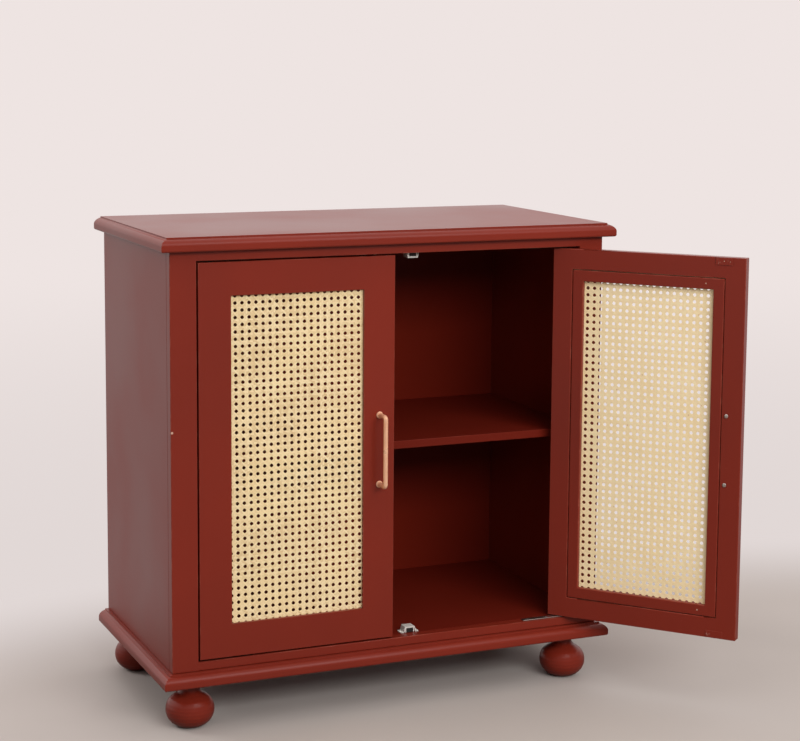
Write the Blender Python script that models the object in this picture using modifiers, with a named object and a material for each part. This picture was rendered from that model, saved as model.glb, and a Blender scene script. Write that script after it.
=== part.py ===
"""Two-door cabinet with cane door panels, on four bun feet.

Metres, +Z up, front towards -Y. The pieces are laid out from the middle of the carcass, with
its front plane at y = 0 and the floor at z = 0. The last step moves them all, so that the
origin is the middle of the whole part's footprint, with the right door standing open.
"""

import math

import bmesh
import bpy
from mathutils import Matrix, Vector

# Carcass
CARCASS_WIDTH = 0.846
CARCASS_DEPTH = 0.436
OVERALL_HEIGHT = 0.886
FOOT_HEIGHT = 0.088
SIDE_THICKNESS = 0.018
BACK_THICKNESS = 0.006
SHELF_THICKNESS = 0.015
SHELF_SETBACK = 0.0445
SHELF_HOUSING = 0.006
SHELF_TONGUE = 0.009
LOWER_SPACE = 0.345

# Top board and base board, with the same moulded edge on the front and both ends
BOARD_THICKNESS = 0.025
NOSE_OVERHANG = 0.0195
FLAT_OVERHANG = 0.0065
QUIRK_LEDGE = 0.001
QUIRK_SHARE = 0.08
LEDGE_FALL_SHARE = 0.02
NOSE_ROUND_SHARE = 0.15
NOSE_FACE_SHARE = 0.27
OVOLO_TURN = math.radians(63)

# Face frame
FRAME_THICKNESS = 0.020
STILE_WIDTH = 0.048
TOP_RAIL_HEIGHT = 0.018
BOTTOM_RAIL_HEIGHT = 0.016

# Doors
DOOR_GAP = 0.003
DOOR_THICKNESS = 0.019
MEMBER_WIDTH = 0.060
LIP_THICKNESS = 0.007
TENON_LENGTH = 0.020
TENON_THICKNESS = 0.006
TENON_SHOULDER = 0.008
RIGHT_DOOR_OPENING = math.radians(130.5)
LEFT_DOOR_OPENING = 0

# Cane panels, each a net of square gaps, and the strips that hold them
CANE_THICKNESS = 0.0016
CANE_GAPS_ACROSS = 8
CANE_GAPS_UP = 18
CANE_GAP_SHARE = 0.47
STRIP_WIDTH = 0.022
STRIP_GAP = 0.0008
BRAD_RADIUS = 0.0007
BRAD_BITE = 0.004
BRAD_INSET = 0.014

# Pivot hinges
PIVOT_INSET = 0.021
PIN_RADIUS = 0.003
PIN_REACH = 0.008
BUSH_WALL = 0.0017
BUSH_LENGTH = 0.010
FLANGE_WIDTH = 0.002
PLATE_THICKNESS = 0.0014
PLATE_WIDTH = 0.012
PLATE_LENGTH = 0.104
PLATE_CORNER = 0.004
PLATE_STANDOFF = 0.001
PLATE_SCREW_INSET = 0.012
PLATE_SCREW_PITCH = 0.040
PLATE_SCREW_RADIUS = 0.0015
PLATE_SCREW_LENGTH = 0.009

# Bow handles
HANDLE_PITCH = 0.128
HANDLE_STANDOFF = 0.030
HANDLE_RADIUS = 0.0038
HANDLE_BEND = 0.0055
HANDLE_SETBACK = 0.009
COLLAR_RADIUS = 0.0064
COLLAR_TOP_RADIUS = 0.0052
COLLAR_HEIGHT = 0.003
HANDLE_SCREW_RADIUS = 0.002
HANDLE_SCREW_BITE = 0.010
HANDLE_HEAD_RADIUS = 0.004
HANDLE_HEAD_HEIGHT = 0.0022

# Magnetic catches and the plates that they hold
CATCH_OFFSET = 0.042
CATCH_WIDTH = 0.037
CATCH_BODY_WIDTH = 0.025
CATCH_SHOULDER = 0.002
CATCH_HEIGHT = 0.0115
CATCH_DEPTH = 0.018
CATCH_SHEET = 0.0012
CATCH_AIR = 0.0006
CATCH_SCREW_RADIUS = 0.0012
CATCH_SCREW_LENGTH = 0.009
CATCH_HEAD_RADIUS = 0.0023
CATCH_HEAD_HEIGHT = 0.001
STRIKE_WIDTH = 0.032
STRIKE_HEIGHT = 0.013
STRIKE_THICKNESS = 0.001
STRIKE_INSET = 0.001

# Bun feet, turned, each with a stud in its top
FOOT_INSET = 0.0455
FOOT_RADIUS = 0.0438
STUD_RADIUS = 0.004
STUD_LENGTH = 0.014

# Outline of a foot below its top edge: share of its radius, share of its height
FOOT_OUTLINE_SHARES = (
    (0.46, 0.79), (0.54, 0.73), (0.70, 0.665), (0.87, 0.59), (0.97, 0.49), (1.0, 0.385),
    (0.96, 0.275), (0.82, 0.175), (0.62, 0.08), (0.42, 0.0),
)

# Room between pieces that touch, how far a cutter runs past what it cuts, and the weld
CLEARANCE = 0.0003
OVERRUN = 0.004
WELD = CLEARANCE / 10

# Facets of arcs and round pieces
ARC_STEPS = 4
ROD_SIDES = 10
BRAD_SIDES = 6
PIN_SIDES = 14
FOOT_SIDES = 20
COLLAR_SIDES = 12
HANDLE_ROUND_STEPS = 3
CORNER_STEPS = 2
SMOOTH_ANGLE = math.radians(40)

# Levels and places that follow from the sizes above
BASE_TOP = FOOT_HEIGHT + BOARD_THICKNESS
CARCASS_TOP = OVERALL_HEIGHT - BOARD_THICKNESS
CARCASS_LOW = BASE_TOP + CLEARANCE
CARCASS_HIGH = CARCASS_TOP - CLEARANCE
FLOOR_TOP = BASE_TOP + BOTTOM_RAIL_HEIGHT
CEILING = CARCASS_TOP - TOP_RAIL_HEIGHT
SHELF_TOP = FLOOR_TOP + LOWER_SPACE + SHELF_THICKNESS
SHELF_UNDERSIDE = SHELF_TOP - SHELF_THICKNESS
INNER_HALF = CARCASS_WIDTH / 2 - SIDE_THICKNESS
OPENING_HALF = CARCASS_WIDTH / 2 - STILE_WIDTH
PANEL_HALF = INNER_HALF - CLEARANCE
PANEL_FRONT = FRAME_THICKNESS + CLEARANCE
BACK_FACE = CARCASS_DEPTH - BACK_THICKNESS
PANEL_BACK = BACK_FACE - CLEARANCE
DOOR_WIDTH = OPENING_HALF - DOOR_GAP * 3 / 2
DOOR_BOTTOM = FLOOR_TOP + DOOR_GAP
DOOR_TOP = CEILING - DOOR_GAP
REBATE_INSET = MEMBER_WIDTH - STRIP_WIDTH
STRIP_FRONT = LIP_THICKNESS + CANE_THICKNESS + CLEARANCE * 2
STRIP_BACK = DOOR_THICKNESS - CLEARANCE
PIVOT_X = OPENING_HALF - DOOR_GAP - PIVOT_INSET
PIVOT_Y = DOOR_THICKNESS / 2
PLATE_TOP = CLEARANCE + PLATE_THICKNESS
PLATE_OUTER_REACH = PIVOT_INSET + DOOR_GAP - PLATE_STANDOFF
BUSH_BORE = PIN_RADIUS + CLEARANCE
BUSH_RADIUS = BUSH_BORE + BUSH_WALL
FLANGE_THICKNESS = DOOR_GAP - PLATE_TOP - CLEARANCE * 2
HANDLE_INSET = REBATE_INSET - HANDLE_SETBACK
CATCH_FRONT = DOOR_THICKNESS + CLEARANCE + STRIKE_THICKNESS + CATCH_AIR


def new_collection(name):
    collection = bpy.data.collections.new(name)
    bpy.context.scene.collection.children.link(collection)
    return collection


def new_empty(name, location, parent=None):
    empty = bpy.data.objects.new(name, None)
    PARTS.objects.link(empty)
    empty.location = location
    empty.parent = parent
    return empty


for leftover in list(bpy.data.objects):
    bpy.data.objects.remove(leftover, do_unlink=True)
PARTS = new_collection("cane_cabinet")
CUTTERS = new_collection("cane_cabinet_cutters")
CABINET = new_empty("cabinet_frame", (0, 0, 0))

# Finishes, each a material of the piece's own


def make_material(name, colour, roughness, metallic=0):
    material = bpy.data.materials.new(name)
    material.use_nodes = True
    shader = material.node_tree.nodes["Principled BSDF"]
    shader.inputs["Base Color"].default_value = (*colour, 1)
    shader.inputs["Roughness"].default_value = roughness
    shader.inputs["Metallic"].default_value = metallic
    return material


def red_paint(name):
    return make_material(name + "_red_paint", (0.205, 0.032, 0.022), 0.42)


def inside_paint(name):
    return make_material(name + "_inside_paint", (0.090, 0.014, 0.010), 0.50)


def woven_cane(name):
    return make_material(name + "_cane", (0.800, 0.640, 0.400), 0.60)


def rose_brass(name):
    return make_material(name + "_rose_brass", (0.720, 0.390, 0.250), 0.30, 1)


def bright_steel(name):
    return make_material(name + "_steel", (0.620, 0.610, 0.590), 0.32, 1)


def black_ferrite(name):
    return make_material(name + "_ferrite", (0.030, 0.030, 0.030), 0.70)


# Pieces and cutters


def place(name, mesh, finish, location=(0, 0, 0), parent=CABINET, rotation=(0, 0, 0)):
    """Puts a mesh in the model as one piece with its own material."""
    piece = bpy.data.objects.new(name, mesh)
    PARTS.objects.link(piece)
    piece.parent = parent
    piece.location = location
    piece.rotation_euler = rotation
    if not mesh.materials:
        mesh.materials.append(None)
    piece.material_slots[0].link = "OBJECT"
    piece.material_slots[0].material = finish(name)
    return piece


def place_cutter(name, mesh, location=(0, 0, 0), parent=CABINET):
    """Keeps a tool shape apart from the pieces and out of the picture."""
    cutter = bpy.data.objects.new(name, mesh)
    CUTTERS.objects.link(cutter)
    cutter.parent = parent
    cutter.location = location
    cutter.hide_render = True
    cutter.display_type = "WIRE"
    return cutter


def combine(operation, tool, *pieces):
    for piece in pieces:
        modifier = piece.modifiers.new(tool.name, "BOOLEAN")
        modifier.operation = operation
        modifier.object = tool


def box_mesh(name, start, end):
    """A box between two opposite corners, centred on its own origin."""
    bm = bmesh.new()
    bmesh.ops.create_cube(bm, size=1)
    bmesh.ops.scale(bm, vec=[abs(b - a) for a, b in zip(start, end)], verts=bm.verts)
    mesh = bpy.data.meshes.new(name)
    bm.to_mesh(mesh)
    bm.free()
    return mesh


def board(name, start, end, finish, parent=CABINET):
    """A square-edged board between two opposite corners."""
    middle = (Vector(start) + Vector(end)) / 2
    return place(name, box_mesh(name, start, end), finish, middle, parent)


def board_cutter(name, start, end, parent=CABINET):
    middle = (Vector(start) + Vector(end)) / 2
    return place_cutter(name, box_mesh(name, start, end), middle, parent)


def evaluated_mesh(piece):
    """The mesh of an object as its modifiers leave it."""
    graph = bpy.context.evaluated_depsgraph_get()
    return bpy.data.meshes.new_from_object(piece.evaluated_get(graph))


def smooth_round(mesh):
    mesh.shade_smooth()
    mesh.set_sharp_from_angle(angle=SMOOTH_ANGLE)


def turned_mesh(name, profile, sides, ring=False):
    """Turns a profile of (radius, height) points round Z. A ring's profile closes on itself."""
    count = len(profile)
    edges = [(i, (i + 1) % count) for i in range(count if ring else count - 1)]
    outline = bpy.data.meshes.new(name + "_outline")
    outline.from_pydata([(radius, 0, height) for radius, height in profile], edges, [])
    blank = bpy.data.objects.new(name + "_blank", outline)
    PARTS.objects.link(blank)
    screw = blank.modifiers.new("turn", "SCREW")
    screw.steps = sides
    screw.render_steps = sides
    screw.use_merge_vertices = True
    screw.merge_threshold = WELD
    mesh = evaluated_mesh(blank)
    bpy.data.objects.remove(blank)
    mesh.name = name
    smooth_round(mesh)
    return mesh


def rod_mesh(name, radius, low, high, sides=ROD_SIDES, high_radius=None):
    """A round bar on Z between two heights, or a cone where its high end differs."""
    bm = bmesh.new()
    bmesh.ops.create_cone(bm, cap_ends=True, segments=sides, radius1=radius,
                          radius2=high_radius or radius, depth=high - low)
    bmesh.ops.translate(bm, vec=(0, 0, (low + high) / 2), verts=bm.verts)
    mesh = bpy.data.meshes.new(name)
    bm.to_mesh(mesh)
    bm.free()
    smooth_round(mesh)
    return mesh


def screw_mesh(name, radius, length, head_radius, head_height):
    """A screw on Z, its thread going down from z = 0 and its head standing above."""
    profile = [(0, head_height), (head_radius, head_height), (head_radius, 0), (radius, 0),
               (radius, -length), (0, -length)]
    return turned_mesh(name, profile, ROD_SIDES)


def curve_mesh(name, curve):
    """A closed mesh from a curve, with its loose caps welded on."""
    blank = bpy.data.objects.new(name + "_blank", curve)
    PARTS.objects.link(blank)
    mesh = evaluated_mesh(blank)
    bpy.data.objects.remove(blank)
    bm = bmesh.new()
    bm.from_mesh(mesh)
    bmesh.ops.remove_doubles(bm, verts=bm.verts, dist=WELD)
    bmesh.ops.recalc_face_normals(bm, faces=bm.faces)
    bm.to_mesh(mesh)
    bm.free()
    mesh.name = name
    smooth_round(mesh)
    return mesh


def repeated_mesh(name, mesh, places):
    """Copies of one mesh at several places, as separate solids of one mesh."""
    bm = bmesh.new()
    for matrix in places:
        first = len(bm.verts)
        bm.from_mesh(mesh)
        bm.verts.ensure_lookup_table()
        bmesh.ops.transform(bm, matrix=matrix, verts=bm.verts[first:])
    joined = bpy.data.meshes.new(name)
    bm.to_mesh(joined)
    bm.free()
    smooth_round(joined)
    return joined


def seat(point, axis=(0, 0, 1)):
    """Where a shape made on Z goes: its foot at a point, its +Z along an axis."""
    return Matrix.Translation(point) @ Vector(axis).to_track_quat("Z", "Y").to_matrix().to_4x4()


def drill(name, mesh, places, *pieces, parent=CABINET):
    """Takes one tool shape, repeated at several places, out of the pieces."""
    cutter = place_cutter(name, repeated_mesh(name, mesh, places), parent=parent)
    combine("DIFFERENCE", cutter, *pieces)


# Top board and base board


def board_levels():
    """Overhang and height of each level of the moulded edge, from the underside up."""
    nose_round = BOARD_THICKNESS * NOSE_ROUND_SHARE
    nose_top = nose_round + BOARD_THICKNESS * NOSE_FACE_SHARE
    ledge_height = BOARD_THICKNESS * (1 - QUIRK_SHARE)
    ovolo_height = ledge_height - BOARD_THICKNESS * LEDGE_FALL_SHARE - nose_top
    ledge_overhang = FLAT_OVERHANG + QUIRK_LEDGE
    levels = []
    for i in range(ARC_STEPS + 1):
        turn = math.pi / 2 * i / ARC_STEPS
        levels.append((NOSE_OVERHANG - nose_round * (1 - math.sin(turn)),
                       nose_round * (1 - math.cos(turn))))
    for i in range(ARC_STEPS + 1):
        turn = OVOLO_TURN * i / ARC_STEPS
        inward_share = (1 - math.cos(turn)) / (1 - math.cos(OVOLO_TURN))
        upward_share = math.sin(turn) / math.sin(OVOLO_TURN)
        levels.append((NOSE_OVERHANG - (NOSE_OVERHANG - ledge_overhang) * inward_share,
                       nose_top + ovolo_height * upward_share))
    levels.append((FLAT_OVERHANG, ledge_height))
    levels.append((FLAT_OVERHANG, BOARD_THICKNESS))
    return levels


def set_level(corners, overhang, height):
    """Puts the four corners of one level in place. The back stays square."""
    for corner in corners:
        corner.co.x = math.copysign(CARCASS_WIDTH / 2 + overhang, corner.co.x)
        corner.co.y = CARCASS_DEPTH if corner.co.y > 0 else -overhang
        corner.co.z = height


def moulded_board(name, bottom):
    """A board raised level by level, so that its moulding mitres at the front corners."""
    levels = board_levels()
    bm = bmesh.new()
    bmesh.ops.create_grid(bm, x_segments=1, y_segments=1, size=CARCASS_DEPTH)
    set_level(bm.verts, *levels[0])
    rim = list(bm.edges)
    for level in levels[1:]:
        made = bmesh.ops.extrude_edge_only(bm, edges=rim)["geom"]
        set_level([item for item in made if isinstance(item, bmesh.types.BMVert)], *level)
        rim = [item for item in made if isinstance(item, bmesh.types.BMEdge)]
    bmesh.ops.contextual_create(bm, geom=rim)
    bmesh.ops.recalc_face_normals(bm, faces=bm.faces)
    mesh = bpy.data.meshes.new(name)
    bm.to_mesh(mesh)
    bm.free()
    return place(name, mesh, red_paint, (0, 0, bottom))


moulded_board("top_board", CARCASS_TOP)
base_board = moulded_board("base_board", FOOT_HEIGHT)

# Carcass panels and face frame

side_panels = []
for side, hand in (("left", -1), ("right", 1)):
    side_panels.append(board("side_panel_" + side, (hand * INNER_HALF, PANEL_FRONT, CARCASS_LOW),
                             (hand * CARCASS_WIDTH / 2, CARCASS_DEPTH, CARCASS_HIGH), red_paint))
    board("frame_stile_" + side, (hand * OPENING_HALF, 0, CARCASS_LOW),
          (hand * CARCASS_WIDTH / 2, FRAME_THICKNESS, CARCASS_HIGH), red_paint)

rail_half = OPENING_HALF - CLEARANCE
top_rail = board("frame_rail_top", (-rail_half, 0, CEILING),
                 (rail_half, FRAME_THICKNESS, CARCASS_HIGH), red_paint)
bottom_rail = board("frame_rail_bottom", (-rail_half, 0, CARCASS_LOW),
                    (rail_half, FRAME_THICKNESS, FLOOR_TOP), red_paint)

board("back_panel", (-PANEL_HALF, BACK_FACE, CARCASS_LOW),
      (PANEL_HALF, CARCASS_DEPTH, CARCASS_HIGH), inside_paint)
ceiling_panel = board("ceiling_panel", (-PANEL_HALF, PANEL_FRONT, CEILING),
                      (PANEL_HALF, PANEL_BACK, CARCASS_HIGH), inside_paint)
floor_panel = board("floor_panel", (-PANEL_HALF, PANEL_FRONT, CARCASS_LOW),
                    (PANEL_HALF, PANEL_BACK, FLOOR_TOP), inside_paint)

# The shelf, a tongue at each end in a groove that runs out at the back of the side panel

shelf_half = INNER_HALF + SHELF_HOUSING
tongue_top = SHELF_UNDERSIDE + SHELF_TONGUE
shelf = board("shelf", (-shelf_half, SHELF_SETBACK, SHELF_UNDERSIDE),
              (shelf_half, PANEL_BACK, SHELF_TOP), red_paint)
for side, hand in (("left", -1), ("right", 1)):
    shoulder = board_cutter("shelf_shoulder_" + side,
                            (hand * PANEL_HALF, SHELF_SETBACK - OVERRUN, tongue_top),
                            (hand * (shelf_half + OVERRUN), CARCASS_DEPTH, SHELF_TOP + OVERRUN))
    combine("DIFFERENCE", shoulder, shelf)
groove_half = shelf_half + CLEARANCE
groove = board_cutter("shelf_groove",
                      (-groove_half, SHELF_SETBACK - CLEARANCE, SHELF_UNDERSIDE - CLEARANCE),
                      (groove_half, CARCASS_DEPTH + OVERRUN, tongue_top + CLEARANCE))
combine("DIFFERENCE", groove, *side_panels)

# Bun feet, with studs that stand in blind holes in the base board

foot_top = FOOT_HEIGHT - CLEARANCE
stud_top = FOOT_HEIGHT + STUD_LENGTH
neck_radius = FOOT_RADIUS * FOOT_OUTLINE_SHARES[0][0]
foot_profile = [(0, stud_top), (STUD_RADIUS, stud_top), (STUD_RADIUS, foot_top),
                (neck_radius, foot_top)]
foot_profile += [(FOOT_RADIUS * across, FOOT_HEIGHT * up) for across, up in FOOT_OUTLINE_SHARES]
foot_profile += [(0, 0)]
bun_foot = turned_mesh("bun_foot", foot_profile, FOOT_SIDES)
stud_seats = []
for row, foot_y in (("front", FOOT_INSET), ("rear", CARCASS_DEPTH - FOOT_INSET)):
    for side, hand in (("left", -1), ("right", 1)):
        foot_x = hand * (CARCASS_WIDTH / 2 - FOOT_INSET)
        place("foot_" + row + "_" + side, bun_foot, red_paint, (foot_x, foot_y, 0))
        stud_seats.append(seat((foot_x, foot_y, FOOT_HEIGHT)))
stud_hole = rod_mesh("stud_hole", STUD_RADIUS + CLEARANCE, -OVERRUN, STUD_LENGTH + CLEARANCE)
drill("stud_holes", stud_hole, stud_seats, base_board)

# Magnetic catches, behind the meeting edges of the doors


def catch_case_mesh():
    """A bent strip seen from the front, two ears and a box body, drawn out along its depth."""
    ear, body, roof = CATCH_WIDTH / 2, CATCH_BODY_WIDTH / 2, CATCH_HEIGHT
    shoulder = body - CATCH_SHOULDER
    half = [(body - CATCH_SHEET, CLEARANCE), (ear, CLEARANCE), (ear, CLEARANCE + CATCH_SHEET),
            (body, CLEARANCE + CATCH_SHEET), (shoulder, roof)]
    inside = (shoulder - CATCH_SHEET, roof - CATCH_SHEET)
    outline = half + [(-x, z) for x, z in reversed(half)] + [(-inside[0], inside[1]), inside]
    curve = bpy.data.curves.new("catch_case_outline", "CURVE")
    curve.dimensions = "2D"
    curve.fill_mode = "BOTH"
    curve.extrude = CATCH_DEPTH / 2
    spline = curve.splines.new("POLY")
    spline.points.add(len(outline) - 1)
    for point, (x, z) in zip(spline.points, outline):
        point.co = (x, z, 0, 1)
    spline.use_cyclic_u = True
    mesh = curve_mesh("catch_case", curve)
    mesh.transform(Matrix.Translation((0, CATCH_DEPTH / 2, 0)) @ Matrix.Rotation(math.pi / 2, 4, "X"))
    return mesh


catch_case = catch_case_mesh()
magnet_roof = CATCH_HEIGHT - CATCH_SHEET - CLEARANCE
magnet_half = CATCH_BODY_WIDTH / 2 - CATCH_SHOULDER - CATCH_SHEET - CLEARANCE
magnet = box_mesh("magnet", (-magnet_half, CLEARANCE, CLEARANCE),
                  (magnet_half, CATCH_DEPTH, magnet_roof))
magnet_middle = (0, (CLEARANCE + CATCH_DEPTH) / 2, (CLEARANCE + magnet_roof) / 2)
ear_middle = (CATCH_WIDTH + CATCH_BODY_WIDTH) / 4
ear_height = CLEARANCE + CATCH_SHEET / 2
catch_screw = screw_mesh("catch_screw", CATCH_SCREW_RADIUS, CATCH_SCREW_LENGTH,
                         CATCH_HEAD_RADIUS, CATCH_SHEET / 2 + CATCH_HEAD_HEIGHT)
catch_screw_pair = repeated_mesh(
    "catch_screw_pair", catch_screw,
    [seat((x, CATCH_DEPTH / 2, ear_height)) for x in (-ear_middle, ear_middle)])
catch_screw_seats = []
for level, height, turn in (("bottom", FLOOR_TOP, 0), ("top", CEILING, math.pi)):
    for side, hand in (("left", -1), ("right", 1)):
        spot = Matrix.Translation((hand * CATCH_OFFSET, CATCH_FRONT, height))
        spot = spot @ Matrix.Rotation(turn, 4, "Y")
        catch = place("catch_" + level + "_" + side, catch_case, bright_steel,
                      spot.to_translation(), CABINET, spot.to_euler())
        combine("UNION", place_cutter(catch.name + "_screws", catch_screw_pair, parent=catch),
                catch)
        place("magnet_" + level + "_" + side, magnet, black_ferrite,
              spot @ Vector(magnet_middle), CABINET, spot.to_euler())
        for screw_x in (-ear_middle, ear_middle):
            catch_screw_seats.append(
                spot @ Matrix.Translation((screw_x, CATCH_DEPTH / 2, ear_height)))
catch_screw_hole = rod_mesh("catch_screw_hole", CATCH_SCREW_RADIUS + CLEARANCE,
                            -CATCH_SCREW_LENGTH - CLEARANCE, OVERRUN)
drill("catch_screw_holes", catch_screw_hole, catch_screw_seats, floor_panel, ceiling_panel)

# Pivot plates in the gaps above and below the doors


def pivot_plate_mesh():
    """A flat plate with rounded corners, its pin's axis at the origin."""
    bm = bmesh.new()
    bmesh.ops.create_cube(bm, size=1)
    bmesh.ops.scale(bm, vec=(PLATE_LENGTH, PLATE_WIDTH, PLATE_THICKNESS), verts=bm.verts)
    upright = [edge for edge in bm.edges if abs(edge.verts[0].co.z - edge.verts[1].co.z) > WELD]
    bmesh.ops.bevel(bm, geom=upright, offset=PLATE_CORNER, segments=CORNER_STEPS,
                    affect="EDGES", profile=0.5, material=-1)
    middle = (PLATE_OUTER_REACH - PLATE_LENGTH / 2, 0, CLEARANCE + PLATE_THICKNESS / 2)
    bmesh.ops.translate(bm, vec=middle, verts=bm.verts)
    mesh = bpy.data.meshes.new("pivot_plate")
    bm.to_mesh(mesh)
    bm.free()
    return mesh


pivot_plate = pivot_plate_mesh()
plate_middle = CLEARANCE + PLATE_THICKNESS / 2
pivot_pin = rod_mesh("pivot_pin", PIN_RADIUS, plate_middle, PLATE_TOP + PIN_REACH, PIN_SIDES)
plate_screw = rod_mesh("plate_screw", PLATE_SCREW_RADIUS, PLATE_TOP - PLATE_SCREW_LENGTH,
                       plate_middle)
plate_far_end = PLATE_OUTER_REACH - PLATE_LENGTH
plate_screw_places = [Matrix.Translation((plate_far_end + reach, 0, 0)) for reach in
                      (PLATE_SCREW_INSET, PLATE_SCREW_INSET + PLATE_SCREW_PITCH)]
plate_screw_pair = repeated_mesh("plate_screw_pair", plate_screw, plate_screw_places)
plate_screw_seats = []
for level, height, flip in (("bottom", FLOOR_TOP, 0), ("top", CEILING, math.pi)):
    for side, hand, turn in (("left", -1, math.pi), ("right", 1, 0)):
        spot = Matrix.Translation((hand * PIVOT_X, PIVOT_Y, height))
        spot = spot @ Matrix.Rotation(turn, 4, "Z") @ Matrix.Rotation(flip, 4, "X")
        plate = place("pivot_plate_" + level + "_" + side, pivot_plate, bright_steel,
                      spot.to_translation(), CABINET, spot.to_euler())
        combine("UNION", place_cutter(plate.name + "_pin", pivot_pin, parent=plate), plate)
        combine("UNION", place_cutter(plate.name + "_screws", plate_screw_pair, parent=plate),
                plate)
        plate_screw_seats += [spot @ screw_place for screw_place in plate_screw_places]
plate_screw_hole = rod_mesh("plate_screw_hole", PLATE_SCREW_RADIUS + CLEARANCE,
                            PLATE_TOP - PLATE_SCREW_LENGTH - CLEARANCE, OVERRUN)
drill("plate_screw_holes", plate_screw_hole, plate_screw_seats, bottom_rail, top_rail)

# Shapes that both doors use


def cane_mesh():
    """A sheet with rows of square gaps in the opening and a plain border under the strips."""
    width = DOOR_WIDTH - MEMBER_WIDTH * 2
    height = DOOR_TOP - DOOR_BOTTOM - MEMBER_WIDTH * 2
    border = STRIP_WIDTH - STRIP_GAP
    strand = width / CANE_GAPS_ACROSS * (1 - CANE_GAP_SHARE) / 2
    bm = bmesh.new()
    bmesh.ops.create_grid(bm, x_segments=CANE_GAPS_ACROSS, y_segments=CANE_GAPS_UP, size=1 / 2)
    bmesh.ops.scale(bm, vec=(width, height, 1), verts=bm.verts)
    gaps = list(bm.faces)
    rim = [edge for edge in bm.edges if edge.is_boundary]
    outside = bmesh.ops.extrude_edge_only(bm, edges=rim)["geom"]
    outside = [item for item in outside if isinstance(item, bmesh.types.BMVert)]
    bmesh.ops.scale(bm, vec=(1 + border * 2 / width, 1 + border * 2 / height, 1), verts=outside)
    bmesh.ops.inset_individual(bm, faces=gaps, thickness=strand)
    bmesh.ops.delete(bm, geom=gaps, context="FACES")
    mesh = bpy.data.meshes.new("cane")
    bm.to_mesh(mesh)
    bm.free()
    return mesh


def handle_mesh():
    """A rod bent at both ends, standing out along -Y from just off the door's face."""
    half = [(-CLEARANCE, HANDLE_PITCH / 2)]
    for i in range(ARC_STEPS + 1):
        turn = math.pi / 2 * i / ARC_STEPS
        half.append((-HANDLE_STANDOFF + HANDLE_BEND * (1 - math.sin(turn)),
                     HANDLE_PITCH / 2 - HANDLE_BEND * (1 - math.cos(turn))))
    path = half + [(y, -z) for y, z in reversed(half)]
    curve = bpy.data.curves.new("handle_path", "CURVE")
    curve.dimensions = "3D"
    curve.bevel_depth = HANDLE_RADIUS
    curve.bevel_resolution = HANDLE_ROUND_STEPS
    curve.use_fill_caps = True
    spline = curve.splines.new("POLY")
    spline.points.add(len(path) - 1)
    for point, (y, z) in zip(spline.points, path):
        point.co = (0, y, z, 1)
    return curve_mesh("handle", curve)


def bush_profile():
    """A flanged tube. Its flange sits on the outside of the wood, which starts at z = 0."""
    outer_face = -CLEARANCE - FLANGE_THICKNESS
    flange_radius = BUSH_RADIUS + FLANGE_WIDTH
    return [(BUSH_BORE, BUSH_LENGTH), (BUSH_RADIUS, BUSH_LENGTH), (BUSH_RADIUS, -CLEARANCE),
            (flange_radius, -CLEARANCE), (flange_radius, outer_face), (BUSH_BORE, outer_face)]


CANE = cane_mesh()
HANDLE = handle_mesh()
COLLAR = rod_mesh("handle_collar", COLLAR_RADIUS, CLEARANCE, CLEARANCE + COLLAR_HEIGHT,
                  COLLAR_SIDES, COLLAR_TOP_RADIUS)
BUSH = turned_mesh("bush", bush_profile(), PIN_SIDES, ring=True)
BUSH_HOLE = rod_mesh("bush_hole", BUSH_RADIUS + CLEARANCE, -OVERRUN, BUSH_LENGTH + CLEARANCE,
                     PIN_SIDES)
HANDLE_SCREW = screw_mesh("handle_screw", HANDLE_SCREW_RADIUS,
                          DOOR_THICKNESS + CLEARANCE * 2 + HANDLE_SCREW_BITE,
                          HANDLE_HEAD_RADIUS, HANDLE_HEAD_HEIGHT)
HANDLE_SCREW_HOLE = rod_mesh("handle_screw_hole", HANDLE_SCREW_RADIUS + CLEARANCE,
                             -DOOR_THICKNESS - CLEARANCE * 3 - HANDLE_SCREW_BITE, OVERRUN)
BRAD = rod_mesh("brad", BRAD_RADIUS, LIP_THICKNESS - BRAD_BITE, (STRIP_FRONT + STRIP_BACK) / 2,
                BRAD_SIDES)
BRAD_HOLE = rod_mesh("brad_hole", BRAD_RADIUS + CLEARANCE,
                     LIP_THICKNESS - BRAD_BITE - CLEARANCE, DOOR_THICKNESS, BRAD_SIDES)


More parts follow.
